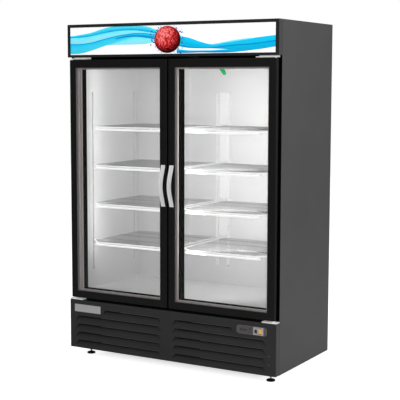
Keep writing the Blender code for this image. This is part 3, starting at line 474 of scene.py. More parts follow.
def screw_template(radius):
    """A pan-head screw with a cross recess, looking along +Z, as a mesh."""
    head = 0.42 * radius
    dome = [(0.0, head)]
    for k in range(1, 6):
        angle = pi / 2 * k / 5
        dome.append((radius * sin(angle), head * (0.25 + 0.75 * cos(angle))))
    dome += [(radius, -0.0005), (0.0, -0.0005)]
    bm = bmesh.new()
    turned(bm, dome, Matrix.Identity(4), steps=20)
    body = new_object("screw_body", to_mesh(bm, "screw_body"))
    arm, half = 0.62 * radius, 0.13 * radius
    cross = bmesh.new()
    add_box(cross, (-arm, -half, head * 0.35), (arm, half, head * 2))
    add_box(cross, (-half, -arm, head * 0.30), (half, arm, head * 2.1))
    cutter = new_object("screw_cross", to_mesh(cross, "screw_cross"))
    recess = body.modifiers.new("cross", "BOOLEAN")
    recess.object = cutter
    recess.solver = "EXACT"
    recess.use_self = True
    evaluated = body.evaluated_get(bpy.context.evaluated_depsgraph_get())
    template = bpy.data.meshes.new_from_object(evaluated)
    for obj in (body, cutter):
        bpy.data.objects.remove(obj)
    return template


def screws(name, places, facing, radius, material, body):
    """Screws at some places, all facing one way, as one piece."""
    template = screw_template(radius)
    facing_turn = UP.rotation_difference(Vector(facing)).to_matrix().to_4x4()
    bm = bmesh.new()
    for number, place in enumerate(places):
        spin = Matrix.Rotation(radians(37 * number), 4, "Z")
        before = len(bm.verts)
        bm.from_mesh(template)
        bm.verts.ensure_lookup_table()
        matrix = Matrix.Translation(place) @ facing_turn @ spin
        bmesh.ops.transform(bm, matrix=matrix, verts=bm.verts[before:])
    add_piece(name, bm, material, body)


# ---- cabinet


def dress_cabinet():
    """Materials of the nodes that keep their own shape."""
    dress(STEEL_SIDE, "outer_cabinet")
    dress(GALVANISED, "back_panel", "rear_grille", "base_pan")
    dress(FOAM, "foam_insulation")
    dress(LINER_WHITE, "inner_liner", "evaporator_housing")
    dress(FRAME_BLACK, "face_frame")
    dress(TRIM_BLACK, "header_housing")
    dress(SIGN_WHITE, "sign_panel")
    dress(LAMP_GLOW, "sign_lamp")
    dress(GRILLE_BLACK, "front_grille")
    dress(PANEL_GREY, "control_bezel")
    dress(SMOKED, "thermostat")
    dress(KEY_GREY, "thermostat_button")
    dress(SWITCH_WHITE, "light_switch", "power_switch")
    dress(MOTOR_BLACK, "compressor")
    dress(FIN_ALUMINIUM, "condenser", "evaporator_coil")
    for word in SIDES:
        dress(LAMP_CHANNEL, f"led_bar_{word}")
        dress(DOOR_BLACK, f"{word}_door_frame")
        dress(GLASS, f"{word}_door_outer_glass", f"{word}_door_inner_glass")
        dress(ALUMINIUM, f"{word}_door_spacer")
        # painted light: the hinges take the glowing zinc
        dress(HINGE_ZINC_GLOWING, f"{word}_top_hinge", f"{word}_bottom_hinge")
    for name in ("front_grille", "header_housing"):
        rounded(NODES[name], 0.0012, 2)


def back_screws():
    """Screws round the back panel and the rear grille."""
    low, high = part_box("back_panel")
    inset, columns, rows = 0.020, 6, 6
    y = high.y
    places = []
    for k in range(columns):
        x = low.x + inset + (high.x - low.x - 2 * inset) * k / (columns - 1)
        places += [(x, y, low.z + inset), (x, y, high.z - inset)]
    for k in range(1, rows - 1):
        z = low.z + inset + (high.z - low.z - 2 * inset) * k / (rows - 1)
        places += [(low.x + inset, y, z), (high.x - inset, y, z)]
    base_low, base_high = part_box("rear_grille")
    for x in (base_low.x + inset, 0.0, base_high.x - inset):
        places += [(x, y, base_low.z + inset), (x, y, base_high.z - inset)]
    screws("back_screws", places, (0, 1, 0), 0.0050, SCREW_STEEL, "cabinet")


def front_screws():
    """Two screws at the right of the grille."""
    low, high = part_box("front_grille")
    x = high.x - 0.043
    places = [(x, low.y, low.z + height) for height in (0.062, 0.110)]
    screws("grille_screws", places, (0, -1, 0), 0.0042, SCREW_BLACK, "cabinet")


def louvre_lips():
    """Thin light grey lips along the upper edges of the louvres, a painted highlight where the
    edges catch the light.
    """
    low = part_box("front_grille")[0]
    first, pitch, rows, slant, radius = low.z + 0.048, 0.049, 5, 0.018, 0.0008
    banks = ((-0.644, -0.044), (0.030, 0.625))  # left and right ends of each bank
    top_row = (-0.452, 0.428)  # the top louvres are shorter
    # painted highlight: no light lip over the left part of each louvre
    unlit_share = 0.28  # share of a louvre, from its left end, that has no light lip
    runs = []
    for row in range(rows):
        for left, right in banks:
            if row == rows - 1:
                left, right = max(left, top_row[0]), min(right, top_row[1])
            start = left + slant + unlit_share * (right - left)
            z = first + row * pitch + radius * 0.3
            ends = [Vector((x, low.y + radius * 0.5, z)) for x in (start, right - slant)]
            runs.append((ends, radius))
    add_piece("louvre_lips", wire_mesh("louvre_lips", runs), LIP_HIGHLIGHT_GREY, "cabinet")


def grille_screen():
    """Pleated black sheet behind the louvres: painted shade that keeps the slots dark, and hides
    the machine.
    """
    low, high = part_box("front_grille")
    margin, half_pitch, depth = 0.010, 0.006, 0.0016
    left, right = low.x + margin, high.x - margin
    steps = round((right - left) / half_pitch)
    back = high.y - 0.0006
    bm = bmesh.new()
    columns = []
    for k in range(steps + 1):
        x, y = left + (right - left) * k / steps, back - depth * (k % 2)
        columns.append([bm.verts.new((x, y, z)) for z in (low.z + 0.022, high.z - margin)])
    for first, second in zip(columns, columns[1:]):
        bm.faces.new((first[0], second[0], second[1], first[1]))
    mesh = to_mesh(bm, "grille_screen", outward=False)
    sheet(add_piece("grille_screen", mesh, SCREEN_SHADE_BLACK, "cabinet"), 0.0004)


# ---- sign


def station(points, t):
    """A smooth value through evenly spaced stations, at t from 0 to 1."""
    spans = len(points) - 1
    k = min(int(t * spans), spans - 1)
    local = t * spans - k
    p1, p2 = points[k], points[k + 1]
    p0 = points[max(k - 1, 0)]
    p3 = points[min(k + 2, spans)]
    square, cube = local ** 2, local ** 3
    return 0.5 * (
        2 * p1 + (p2 - p0) * local + (2 * p0 - 5 * p1 + 4 * p2 - p3) * square
        + (3 * p1 - p0 - 3 * p2 + p3) * cube
    )


def sign_window():
    """The sign's visible part as (left, right, bottom, top, y)."""
    low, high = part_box("header_housing")
    side, lower_edge, upper_edge = 0.0205, 0.0142, 0.0177
    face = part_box("sign_panel")[0].y
    return low.x + side, high.x - side, low.z + lower_edge, high.z - upper_edge, face


def ribbon(name, span, lower, upper, layer, deep, pale):
    """A printed band over a span of the window's width. Its edges run through
    stations given as shares of the window's height; a layer is how far forward
    it lies."""
    left, right, bottom, top, face = sign_window()
    start, end = span
    steps = 64
    y = face - FACE_LIFT - 0.00010 * layer
    bm = bmesh.new()
    uv = bm.loops.layers.uv.new("print")
    rows = []
    for k in range(steps + 1):
        t = k / steps
        x = left + (right - left) * (start + (end - start) * t)
        row = []
        for share, across in ((station(lower, t), 0.0), (station(upper, t), 1.0)):
            z = bottom + (top - bottom) * min(max(share, 0.0), 1.0)
            row.append((bm.verts.new((x, y, z)), t, across))
        rows.append(row)
    for first, second in zip(rows, rows[1:]):
        corners = (first[0], second[0], second[1], first[1])
        face_made = bm.faces.new([corner[0] for corner in corners])
        for loop, (_, along, across) in zip(face_made.loops, corners):
            loop[uv].uv = (along, across)
    ink = printed_band(name + "_ink", deep, pale)
    mesh = to_mesh(bm, name, outward=False)
    sheet(add_piece(name, mesh, ink, "cabinet"), 0.00006)


def widened(line, margin):
    """Stations moved up or down, for the edge of a line drawn along them."""
    return tuple(share + margin for share in line)


def sign_ribbons():
    """Bands that flow in from both edges of the sign to its middle."""
    blue, sky = (0.001, 0.17, 0.50), (0.001, 0.46, 0.74)
    pale, mist = (0.07, 0.66, 0.84), (0.34, 0.82, 0.93)
    left, right = (0.0, 0.455), (0.545, 1.0)
    rise = (0.65, 0.65, 0.70, 0.78, 0.84, 0.87, 0.86, 0.80, 0.72)
    crest = (0.39, 0.39, 0.44, 0.54, 0.63, 0.70, 0.74, 0.72, 0.64)
    keel = (0.03, 0.05, 0.15, 0.28, 0.41, 0.52, 0.62, 0.61, 0.50)
    roof = (0.62, 0.55, 0.40, 0.30, 0.34, 0.42, 0.48, 0.53, 0.57)
    vein = (0.30, 0.24, 0.20, 0.20, 0.245, 0.28, 0.30, 0.345, 0.39)
    bands = (
        (left, (0.30, 0.30, 0.30, 0.32, 0.34, 0.34, 0.34, 0.36, 0.44), keel, 1, mist, pale),
        (left, keel, crest, 2, pale, sky),
        (left, crest, rise, 3, mist, pale),
        (left, rise, (0.69, 0.74, 0.81, 0.93, 1.0, 1.0, 1.0, 0.97, 0.84), 4, sky, pale),
        (left, widened(crest, -0.012), widened(crest, 0.014), 5, blue, sky),
        (left, widened(rise, -0.014), widened(rise, 0.016), 5, blue, sky),
        ((0.24, 0.455), (0.55, 0.61, 0.62, 0.57, 0.50), (0.60, 0.69, 0.71, 0.68, 0.62), 6,
         blue, sky),
        (right, (0.26, 0.19, 0.17, 0.16, 0.13, 0.08, 0.10, 0.15, 0.21), roof, 1, sky, sky),
        (right, (0.02, 0.02, 0.03, 0.02, 0.02, 0.04, 0.08, 0.13, 0.19),
         (0.16, 0.11, 0.10, 0.10, 0.12, 0.10, 0.11, 0.16, 0.22), 2, blue, sky),
        (right, widened(vein, -0.03), widened(vein, 0.03), 3, blue, sky),
        ((0.72, 0.90), (0.30, 0.33, 0.37, 0.42, 0.46), (0.33, 0.38, 0.44, 0.48, 0.51), 4,
         pale, mist),
    )
    for number, band in enumerate(bands, 1):
        ribbon(f"sign_ribbon_{number}", *band)


def sign_ball():
    """A plain red ball with a few blue drops round it, in the sign's middle."""
    left, right, bottom, top, face = sign_window()
    centre = Vector(((left + right) / 2, face - 0.0011, (bottom + top) / 2))
    radius = (0.0855, (top - bottom) / 2 * 0.95)
    bm = bmesh.new()
    spot = Matrix.Translation(centre) @ TO_FRONT
    stretch = Matrix.Diagonal((radius[0], radius[1], 1.0, 1.0))
    bmesh.ops.create_cone(
        bm, cap_ends=True, segments=72, radius1=1.0, radius2=1.0, depth=0.0001,
        matrix=spot @ stretch,
    )
    ink = printed_ball("sign_ball_ink", centre, radius)
    add_piece("sign_ball", bm, ink, "cabinet")
    drops = bmesh.new()
    chance, count, margin = random.Random(7), 72, 0.004
    for k in range(count):
        angle = 2 * pi * (k + chance.random() * 0.7) / count
        away = 1.02 + 0.34 * chance.random() ** 2
        x = centre.x + radius[0] * away * cos(angle) * 1.05
        z = centre.z + radius[1] * away * sin(angle)
        size = 0.0012 + 0.0026 * chance.random()
        if not bottom + margin < z < top - margin:
            continue
        lean = Matrix.Rotation(-angle, 4, "Y")
        drop = Matrix.Translation((x, face - 0.0009, z)) @ lean
        shape = Matrix.Diagonal((size * 2.0, 0.00003, size, 1.0))
        bmesh.ops.create_uvsphere(drops, u_segments=14, v_segments=7, radius=1.0,
                                  matrix=drop @ shape)
    dark = coat("drop_blue_ink", (0.015, 0.10, 0.34), 0.3, mottle=0.3, glow=0.4)
    add_piece("sign_drops", drops, dark, "cabinet")


# ---- controls


def name_plate():
    """A blank plate with a raised border, in place of a badge."""
    low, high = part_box("name_plate")
    bm = bmesh.new()
    front, back = low.y, high.y
    border, step = 0.004, 0.0006
    outline = [(0.0, back), (0.0, front), (border, front), (border + step, front + step)]
    mitred_ring(bm, (low.x, low.z), (high.x, high.z), outline + [(border + step, back)])
    add_box(bm, (low.x + border, front + step, low.z + border),
            (high.x - border, back, high.z - border))
    plate = add_piece("name_plate_face", bm, PLATE_SILVER, "cabinet", ["name_plate"])
    rounded(plate, 0.0003, 2)


def switch_frame():
    """White frame round both rockers, with a bar between them."""
    left_low, left_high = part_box("light_switch")
    right_low, right_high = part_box("power_switch")
    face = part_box("control_bezel")[0].y
    gap, rim, rise = 0.0004, 0.0034, 0.0016
    tall = 0.0026  # clearance over the rockers, which tilt
    low = (left_low.x - gap - rim, left_low.z - tall - rim)
    high = (right_high.x + gap + rim, left_high.z + tall + rim)
    back, front = face - FACE_LIFT, face - rise
    bm = bmesh.new()
    profile = [(0.0, back), (0.0005, front), (rim - 0.0004, front), (rim, back)]
    mitred_ring(bm, low, high, profile)
    bar_left, bar_right = left_high.x + gap, right_low.x - gap
    add_box(bm, (bar_left, front, low[1] + rim), (bar_right, back, high[1] - rim))
    add_piece("switch_frame", bm, SWITCH_WHITE, "cabinet")


def switch_lens(name, material):
    """Lens on the front of a rocker, bent along the rocker's two faces."""
    low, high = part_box(name)
    middle = (low.z + high.z) / 2
    inset, end, slope, thick = 0.0042, 0.0040, 0.0040, 0.0007
    half = (high.z - low.z) / 2
    reach = half - end
    drop = slope * reach / half
    outline = [(0.0, 0.0), (drop, -reach), (drop + thick * 2, -reach), (thick * 2, 0.0),
               (drop + thick * 2, reach), (drop, reach)]
    front = low.y - thick
    sections = [
        [Vector((x, front + y, middle + z)) for y, z in outline]
        for x in (low.x + inset, high.x - inset)
    ]
    bm = bmesh.new()
    loft(bm, sections)
    lens = add_piece(name + "_lens", bm, material, name)
    rounded(lens, 0.0003, 2, 60.0)


def thermostat_face():
    """Rim, display window and marker dots on the front of the controller."""
    low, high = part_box("thermostat")
    face = low.y
    inset, rim = 0.0015, 0.0016
    bm = bmesh.new()
    back, front = face - 0.0001, face - 0.0009
    profile = [(0.0, back), (0.0003, front), (rim, front), (rim + 0.0003, back)]
    mitred_ring(bm, (low.x + inset, low.z + inset), (high.x - inset, high.z - inset), profile)
    middle = (low.z + high.z) / 2
    window_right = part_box("thermostat_button")[0].x - 0.012
    mitred_ring(bm, (low.x + 0.006, middle - 0.009), (window_right, middle + 0.009), profile)
    add_piece("thermostat_rim", bm, KEY_GREY, "cabinet")
    dots = bmesh.new()
    x = window_right + 0.005
    for z in (middle - 0.008, middle, middle + 0.008):
        spot = Matrix.Translation((x, face - 0.0003, z)) @ TO_FRONT
        turned(dots, [(0.0, 0.0006), (0.0007, 0.0005), (0.0011, 0.0), (0.0, 0.0)], spot, 14)
    add_piece("thermostat_dots", dots, SWITCH_WHITE, "cabinet")


# ---- shelves


def shelf_wires(name):
    """A round-wire shelf in the space of its solid: a rim, a lower front rod
    with its ends bent up to the rim, and a deck of fine wires and cross wires."""
    low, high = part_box(name)
    rim, fine, cross, bar = 0.0038, 0.0016, 0.0022, 0.0052
    corner = 0.072
    inner = Vector((low.x + rim, low.y + rim)), Vector((high.x - rim, high.y - rim))
    top = high.z - rim
    x0, x1 = inner[0].x, inner[1].x
    y0, y1 = inner[0].y, inner[1].y
    turn = 0.012
    left_start, right_start = Vector((x0, y0 + corner, top)), Vector((x1, y0 + corner, top))
    left_front, right_front = Vector((x0 + corner, y0, top)), Vector((x1 - corner, y0, top))
    near = [left_start, left_front, right_front, right_start]
    rods = [(rounded_path(near, turn), rim)]
    back = [left_start, Vector((x0, y1, top)), Vector((x1, y1, top)), right_start]
    frame_run = [(rounded_path(back, turn), 0.0028)]
    runs = []
    count = 26
    lift = top + rim - fine
    for k in range(1, count):
        x = x0 + (x1 - x0) * k / count
        start = y0 + max(0.0, corner - min(x - x0, x1 - x))
        runs.append(([Vector((x, start, lift)), Vector((x, y1, lift))], fine))
    under = lift - fine - cross
    for share in (0.30, 0.62, 0.88):
        y = y0 + (y1 - y0) * share
        runs.append(([Vector((x0, y, under)), Vector((x1, y, under))], cross))
    rail = low.z + bar
    reach, front = 0.047, y0 + 0.010
    lower = [
        left_front, Vector((x0 + reach, front, rail)), Vector((x1 - reach, front, rail)),
        right_front,
    ]
    rods.append((rounded_path(lower, turn / 2), bar))
    for share in (0.12, 0.5, 0.88):
        x = x0 + corner + (x1 - x0 - 2 * corner) * share
        post = [Vector((x, y0, top)), Vector((x, front, rail))]
        rods.append((post, cross))
    # painted light: the rods glow through their white coating
    parts = (("_rods", rods, WIRE_WHITE_GLOWING, [name]), ("_rim", frame_run, RIM_WHITE, ()),
             # painted shade: the deck wires take a dark grey in place of their white
             ("_deck", runs, DECK_SHADED_WHITE, ()))
    for ending, wires, material, replaced in parts:
        mesh = wire_mesh(name + ending, wires)
        add_piece(name + ending, mesh, material, name, replaced, sharp=50.0)


# ---- uprights


def slotted_channel(bm, foot, across, out, width, depth, height):
    """An upright channel with a row of slots, standing on its foot point, which
    is the middle of its back edge at the wall."""
    slot_width, slot_height, pitch, lowest = 0.0035, 0.010, 0.025, 0.012
    columns = [(-width / 2, 0.0), (-width / 2, depth), (-slot_width / 2, depth),
               (slot_width / 2, depth), (width / 2, depth), (width / 2, 0.0)]
    levels = [0.0]
    for k in range(int((height - lowest) / pitch)):
        start = lowest + k * pitch
        levels += [start, start + slot_height]
    levels.append(height)
    grid = [
        [bm.verts.new(foot + across * u + out * v + UP * z) for u, v in columns] for z in levels
    ]
    for row in range(len(levels) - 1):
        for column in range(len(columns) - 1):
            slot_here = column == 2 and row % 2 == 1
            if not slot_here:
                a, b = grid[row], grid[row + 1]
                bm.faces.new((a[column], a[column + 1], b[column + 1], b[column]))


def clip(bm, foot, across, out, reach, width):
    """A shelf clip: an arm out of a slot, with its tip turned up."""
    thick, tip = 0.0016, 0.0040
    half = across * (width / 2)
    outline = [
        (0.0, 0.0), (reach, 0.0), (reach, tip + thick), (reach - thick, tip + thick),
        (reach - thick, thick), (0.0, thick),
    ]
    sections = [
        [foot + half * side + out * u + UP * v for u, v in outline] for side in (-1, 1)
    ]
    loft(bm, sections)


def upright(name, columns, across, out, width, depth, reach, material):
    """An upright with its clips, in place of one pilaster node. Columns are the
    places of its channels along the wall."""
    low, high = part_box(name)
    bm = bmesh.new()
    for foot in columns:
        slotted_channel(bm, foot, across, out, width, depth, high.z - low.z)
    channel = add_piece(name + "_channel", bm, material, "cabinet", [name])
    sheet(channel, 0.0010, -1.0)
    clips = bmesh.new()
    for number in range(1, SHELF_COUNT + 1):
        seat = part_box(f"shelf_left_{number}")[1].z - CLIP_DROP
        for foot in columns:
            place = Vector((foot.x, foot.y, seat)) + out * 0.001
            clip(clips, place, across, out, reach, 0.009)
    add_piece(name + "_clips", clips, ZINC, "cabinet")


def upright_plates(name, facing):
    """Thin plates between a pair of uprights, one over each shelf, each with
    tapered lower corners and a round boss."""
    low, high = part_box(name)
    wall = low.y if facing > 0 else high.y
    levels = [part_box(f"shelf_left_{number}") for number in range(SHELF_COUNT, 0, -1)]
    tops = [box[0].z - 0.012 for box in levels[1:]] + [high.z]
    half, taper, near, far = 0.0280, 0.016, 0.0006, 0.0026
    bm = bmesh.new()
    bosses = bmesh.new()
    for box, top in zip(levels, tops):
        foot = box[1].z + 0.003
        outline = [(-half, top), (half, top), (half, foot + taper), (half - taper, foot),
                   (taper - half, foot), (-half, foot + taper)]
        sections = [
            [Vector((x, wall + facing * out, z)) for x, z in outline] for out in (near, far)
        ]
        loft(bm, sections)
        spot = (Matrix.Translation((0.0, wall + facing * far, foot + 0.022))
                @ Matrix.Rotation(-facing * pi / 2, 4, "X"))
        turned(bosses, [(0.0, 0.0016), (0.0055, 0.0014), (0.0070, 0.0), (0.0, 0.0)], spot, 24)
    plates = add_piece(name + "_plates", bm, RAIL_CENTRE_GLOWING, "cabinet")
    rounded(plates, 0.0008, 2)
    add_piece(name + "_bosses", bosses, RAIL_CENTRE_GLOWING, "cabinet")


def uprights():
    """All six uprights, and the plates of the middle ones."""
    along_x, along_y = Vector((1, 0, 0)), Vector((0, 1, 0))
    for word, side in SIDES.items():
        for place in ("front", "rear"):
            name = f"pilaster_{word}_{place}"
            low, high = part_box(name)
            wall = low.x if side < 0 else high.x
            reach = high.x - low.x - 0.003
            foot = Vector((wall, (low.y + high.y) / 2, low.z))
            upright(name, [foot], along_y, Vector((-side, 0, 0)), 0.0155, 0.0085, reach, RAIL_SIDE)
    for place, facing in (("front", 1), ("rear", -1)):
        name = f"pilaster_centre_{place}"
        low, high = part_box(name)
        wall = low.y if facing > 0 else high.y
        feet = [Vector((x, wall, low.z)) for x in (-0.039, 0.039)]
        reach = high.y - low.y - 0.003
        # painted light: the middle channels, plates and bosses take the glowing steel
        upright(name, feet, along_x, Vector((0, facing, 0)), 0.0195, 0.0045, reach, RAIL_CENTRE_GLOWING)
        upright_plates(name, facing)


# ---- doors


def door_seal(word):
    """Bellows seal round the back of a door."""
    name = f"{word}_door_gasket"
    low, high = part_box(name)
    width = 0.0145
    front, back = low.y, high.y
    third = width / 3
    profile = [
        (0.0, front), (0.0, front + 0.004), (0.0016, (front + back) / 2), (0.0004, back - 0.003),
        (0.0016, back), (third * 2.4, back), (third * 2.8, back - 0.003),
        (third * 2.5, (front + back) / 2), (width, front + 0.003), (width, front),
    ]
    bm = bmesh.new()
    mitred_ring(bm, (low.x, low.z), (high.x, high.z), profile)
    seal = add_piece(name + "_bellows", bm, SEAL_BLACK, f"{word}_door", [name])
    rounded(seal, 0.0006, 2, 20.0)


def glazing_bead(word):
    """Warm grey bead that lines the door's lip in front of its outer pane."""
    door_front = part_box(f"{word}_door_frame")[0].y
    pane_low, pane_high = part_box(f"{word}_door_outer_glass")
    tuck, thick = 0.0060, 0.0012
    back, front = pane_low.y - FACE_LIFT, door_front + 0.0010
    profile = [(0.0, back), (0.0, front), (thick * 0.5, front), (thick, front + 0.0008),
               (thick, back)]
    bm = bmesh.new()
    mitred_ring(bm, (pane_low.x + tuck, pane_low.z + tuck),
                (pane_high.x - tuck, pane_high.z - tuck), profile)
    add_piece(f"{word}_door_bead", bm, BEAD_GREY, f"{word}_door")


def handle_section(x, width, front, back):
    """A level section of the handle: a strip with beads along both edges."""
    half, bead, dish = width / 2, 0.0036, 0.0009
    return [
        (x - half, back), (x + half, back), (x + half, front + 0.0010),
        (x + half - 0.0008, front), (x + half - bead * 0.6, front),
        (x + half - bead, front + dish), (x - half + bead, front + dish),
        (x - half + bead * 0.6, front), (x - half + 0.0008, front), (x - half, front + 0.0010),
    ]


def handle(word):
    """Bow handle: a thin strip that arches forward, on two black stand-offs."""
    name = f"{word}_door_handle"
    low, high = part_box(name)
    middle, half = (low.z + high.z) / 2, (high.z - low.z) / 2
    x, width = (low.x + high.x) / 2 + 0.0015, 0.0265
    door, full = high.y, 0.034
    end_reach, thick, steps = 0.0055, 0.0030, 56

    def front_at(along):
        rise = max(0.0, cos(along * pi / 2)) ** 1.4
        return door - end_reach - (full - end_reach) * rise

    sections = []
    for k in range(steps + 1):
        along = -1 + 2 * k / steps
        front = front_at(along)
        points = handle_section(x, width, front, front + thick)
        sections.append([Vector((px, py, middle + along * half)) for px, py in points])
    bm = bmesh.new()
    loft(bm, sections)
    # painted light: the bow takes the glowing silver
    add_piece(name + "_bow", bm, HANDLE_SILVER_GLOWING, f"{word}_door", [name], sharp=50.0)
    posts = bmesh.new()
    for along in (-0.86, 0.86):
        place = middle + along * half
        front = front_at(abs(along) + 0.11) + thick * 0.5
        add_box(posts, (x - 0.007, front, place - 0.014), (x + 0.007, door, place + 0.014))
    stand = add_piece(name + "_stand_offs", posts, DOOR_BLACK, f"{word}_door")
    rounded(stand, 0.0020, 3)


def hinge_detail(word, side):
    """Two screws on top of a bottom hinge's plate."""
    low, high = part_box(f"{word}_bottom_hinge")
    inner = (high.x, low.x)[side > 0]
    places = [(inner + side * 0.010, low.y + 0.012, low.z + 0.0050),
              (inner + side * 0.030, low.y + 0.012, low.z + 0.0050)]
    screws(f"{word}_hinge_screws", places, (0, 0, 1), 0.0034, SCREW_STEEL, "cabinet")


# ---- feet, peg


def foot_detail(name):
    """Levelling foot: a flat black pad, and a bright stem with a cut thread."""
    low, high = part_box(name)
    spot = Matrix.Translation(((low.x + high.x) / 2, (low.y + high.y) / 2, low.z))
    radius = (high.x - low.x) / 2
    height = high.z - low.z
    stem, pitch, depth, seat = 0.0050, 0.0015, 0.0007, 0.0150
    profile = [(0.0, height), (stem - 0.001, height), (stem, height - 0.001)]
    turns = int((height - 0.002 - seat) / pitch)
    for k in range(turns):
        z = height - 0.001 - k * pitch
        profile += [(stem - depth, z - pitch / 2), (stem, z - pitch)]
    profile += [(stem, seat - 0.002), (0.0, seat - 0.002)]
    bm = bmesh.new()
    turned(bm, profile, spot, 32)
    add_piece(name + "_stem", bm, ZINC, name, [name], sharp=40.0)
    pad = [(0.0, 0.0140), (0.0080, 0.0140), (0.0095, 0.0128), (0.0180, 0.0108),
           (radius - 0.0020, 0.0082), (radius - 0.0004, 0.0070), (radius, 0.0056),
           (radius, 0.0016), (radius - 0.0006, 0.0005), (radius - 0.0018, 0.0), (0.0, 0.0)]
    bm = bmesh.new()
    turned(bm, pad, spot, 48)
    add_piece(name + "_pad", bm, FOOT_BLACK, name, sharp=40.0)


def sensor_peg():
    """Green peg with a rounded tip, hanging at a slant."""
    low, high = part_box("temperature_probe")
    radius, lean = 0.0105, radians(38)
    length = 0.057
    at = Vector((low.x + radius * cos(lean), (low.y + high.y) / 2,
                 high.z - radius * sin(lean)))
    spot = Matrix.Translation(at) @ Matrix.Rotation(-lean, 4, "Y")
    profile = [(0.0, 0.0), (radius - 0.0006, 0.0), (radius, -0.0006)]
    for band in range(3):
        z = -0.012 - 0.010 * band
        profile += [(radius, z), (radius - 0.0005, z - 0.0006), (radius - 0.0005, z - 0.0020),
                    (radius, z - 0.0026)]
    for k in range(9):
        angle = pi / 2 * k / 8
        profile.append((radius * cos(angle), -(length - radius) - radius * sin(angle)))
    profile[-1] = (0.0, -length)
    bm = bmesh.new()
    turned(bm, profile, spot, 32)
    add_piece("sensor_peg", bm, PEG_GREEN, "cabinet", ["temperature_probe"])


# ---- fans


def fan_detail(name, blades, hub):
    """A fan with twisted, rounded blades on a domed hub, in place of its node.
    The value of hub is the hub's radius."""
    low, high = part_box(name)
    centre = (low + high) / 2
    tip = (high.z - low.z) / 2 * (0.97 if blades % 2 else 1.0)
    bm = bmesh.new()
    facing = Matrix.Translation(centre) @ TO_FRONT
    turned(bm, [(0.0, 0.0085), (hub * 0.5, 0.0080), (hub * 0.85, 0.0060), (hub, 0.0030),
                (hub, -0.0080), (0.0, -0.0080)], facing, 32)
    for number in range(blades):
        turn = Matrix.Rotation(2 * pi * number / blades, 4, "Z")
        sections = []
        for k in range(9):
            share = k / 8
            radius = hub * 0.8 + (tip - hub * 0.8) * share
            chord = hub * (0.75 + 0.75 * sin(pi * (0.15 + 0.75 * share)) ** 0.8)
            pitch = radians(34 - 16 * share)
            section = []
            for j in range(10):
                angle = 2 * pi * j / 10
                flat = Vector((0.0, chord / 2 * cos(angle), 0.0010 * sin(angle)))
                flat.rotate(Matrix.Rotation(pitch, 3, "X"))
                section.append(facing @ turn @ (Vector((radius, 0.0, 0.0)) + flat))
            sections.append(section)
        loft(bm, sections)
    add_piece(name + "_blades", bm, MOTOR_BLACK, name, [name])


def fan_guard():
    """Wire guard over the evaporator cover's fan opening."""
    fan_low, fan_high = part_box("evaporator_fan")
    centre = (fan_low + fan_high) / 2
    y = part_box("evaporator_housing")[0].y - 0.0030
    runs = []
    for radius in (0.020, 0.036, 0.052, 0.068, 0.084):
        angles = [2 * pi * k / 40 for k in range(40)]
        ring = [Vector((centre.x + radius * cos(angle), y, centre.z + radius * sin(angle)))
                for angle in angles]
        runs.append((ring, 0.0010, "closed"))
    for k in range(3):
        angle = pi * k / 3
        arm = Vector((cos(angle), 0.0, sin(angle))) * 0.086
        middle = Vector((centre.x, y + 0.0018, centre.z))
        runs.append(([middle - arm, middle + arm], 0.0011))
    # painted light: the guard's white wires glow though they are no lamp
    add_piece("fan_guard", wire_mesh("fan_guard", runs), WIRE_WHITE_GLOWING, "cabinet")


# ---- studio


def add_light(name, place, target, size, power):
    """A soft rectangular light aimed at a point."""
    data = bpy.data.lights.new(name, "AREA")
    data.shape = "RECTANGLE"
    data.size, data.size_y = size
    data.energy = power
    light = new_object(name, data)
    light.location = place
    aim = Vector(target) - Vector(place)
    light.rotation_euler = aim.to_track_quat("-Z", "Y").to_euler()
    light.visible_camera = False


def floor_paint():
    """Matt white that melts into the white background, with a painted shadow: its glow for the
    camera drops well under the cabinet."""
    finish = Finish("studio_floor")
    axes = finish.node("SeparateXYZ", Vector=finish.place).outputs
    depth = finish.math("ADD", axes["Y"], -CAD_BOUNDS[0][1])
    side = finish.math("SUBTRACT", CAD_BOUNDS[1][0], finish.math("ABSOLUTE", axes["X"]))
    far = finish.math("SUBTRACT", CAD_BOUNDS[1][1], axes["Y"])
    cover = finish.math("MINIMUM", finish.math("MINIMUM", depth, side), far)
    # painted shadow: the camera-only glow falls from 0.92 round the cabinet to 0.35 well under it
    under_cabinet_shadow = finish.spread(cover, 0.92, 0.35, 0.10, 0.34)
    seen = finish.node("LightPath").outputs["Is Camera Ray"]
    glow = finish.math("MULTIPLY", under_cabinet_shadow, seen)
    shade = finish.spread(finish.noise(3.0), 0.0, 1.0)
    white = finish.blend(shade, (0.86, 0.86, 0.86), (0.89, 0.89, 0.89))
    finish.set(
        Base_Color=white, Roughness=0.85, Specular_IOR_Level=0.1,
        Emission_Color=(1.0, 1.0, 1.0, 1.0), Emission_Strength=glow,
    )
    return finish.material


# Upright panels of light just behind the door frames: x, width, (x, y) that
# each one faces, power
PANELS = (
    ("left_jamb", -0.500, 0.03, (-0.622, 0.05), 0.95),
    ("left_panel", -0.300, 0.48, (-0.300, 0.32), 0.12),
    ("right_panel", 0.290, 0.40, (-0.020, 0.32), 5.6),
)


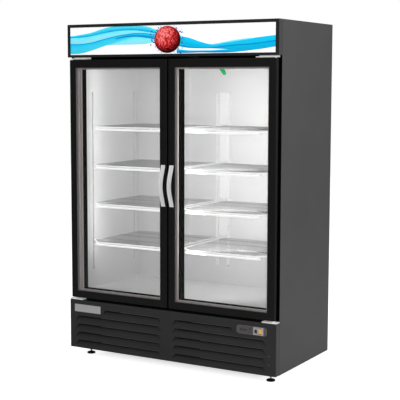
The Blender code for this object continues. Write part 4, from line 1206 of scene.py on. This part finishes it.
def studio():
    """Pale floor, soft lights, and panels of light for the inside."""
    bm = bmesh.new()
    bmesh.ops.create_grid(bm, x_segments=1, y_segments=1, size=12.0)
    mesh = to_mesh(bm, "studio_floor", outward=False)
    floor = new_object("studio_floor", mesh)
    floor.location.z = -0.0005
    mesh.materials.append(floor_paint())
    add_light("key", (4.2, -2.2, 3.2), (0.0, 0.0, 0.9), (2.4, 2.4), 52)
    add_light("side", (4.0, 2.2, 2.0), (0.6, 0.0, 0.9), (2.2, 2.6), 34)
    add_light("top", (0.0, -0.6, 4.2), (0.0, -0.2, 0.0), (4.0, 4.0), 70)
    add_light("front", (0.5, -4.8, 2.2), (0.0, 0.0, 0.9), (2.0, 2.0), 16)
    low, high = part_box("inner_liner")
    middle, front = (low.z + high.z) / 2 + 0.05, low.y + 0.020
    for name, x, width, (face_x, face_y), power in PANELS:
        place = (x, front, middle)
        add_light(name, place, (face_x, face_y, middle), (width, 1.20), power)


def backdrop():
    """White behind the object; a dimmer room for what its surfaces reflect."""
    world = bpy.data.worlds.new("studio")
    bpy.context.scene.world = world
    world.use_nodes = True
    nodes, links = world.node_tree.nodes, world.node_tree.links
    room = nodes["Background"]
    seen = nodes.new("ShaderNodeBackground")
    for shader, strength in ((room, 0.22), (seen, 1.0)):
        shader.inputs["Color"].default_value = (1.0, 1.0, 1.0, 1.0)
        shader.inputs["Strength"].default_value = strength
    path = nodes.new("ShaderNodeLightPath")
    mix = nodes.new("ShaderNodeMixShader")
    links.new(path.outputs["Is Camera Ray"], mix.inputs["Fac"])
    links.new(room.outputs["Background"], mix.inputs[1])
    links.new(seen.outputs["Background"], mix.inputs[2])
    links.new(mix.outputs["Shader"], nodes["World Output"].inputs["Surface"])


def camera():
    """The view from the front right, a little above the middle."""
    data = bpy.data.cameras.new("camera")
    data.lens = 96.46
    data.sensor_width = 36.0
    viewer = new_object("camera", data)
    viewer.location = (3.153, -5.4087, 1.6256)
    turn, down, roll = radians(30.08), radians(6.2), radians(0.134)
    facing = (Matrix.Rotation(turn, 4, "Z") @ Matrix.Rotation(pi / 2 - down, 4, "X")
              @ Matrix.Rotation(roll, 4, "Z"))
    viewer.rotation_euler = facing.to_euler()
    bpy.context.scene.camera = viewer
    bpy.context.scene.view_settings.view_transform = "Standard"


# ---- assembly

dress_cabinet()
back_screws()
front_screws()
louvre_lips()
grille_screen()
sign_ribbons()
sign_ball()
name_plate()
switch_frame()
switch_lens("light_switch", SWITCH_BLACK)
switch_lens("power_switch", SWITCH_AMBER)
thermostat_face()
uprights()
sensor_peg()
fan_detail("condenser_fan", 5, 0.028)
fan_detail("evaporator_fan", 4, 0.020)
fan_guard()
for side_word, side_sign in SIDES.items():
    door_seal(side_word)
    glazing_bead(side_word)
    handle(side_word)
    hinge_detail(side_word, side_sign)
    foot_detail(f"foot_front_{side_word}")
    foot_detail(f"foot_rear_{side_word}")
    for shelf_number in range(1, SHELF_COUNT + 1):
        shelf_wires(f"shelf_{side_word}_{shelf_number}")
studio()
backdrop()
camera()
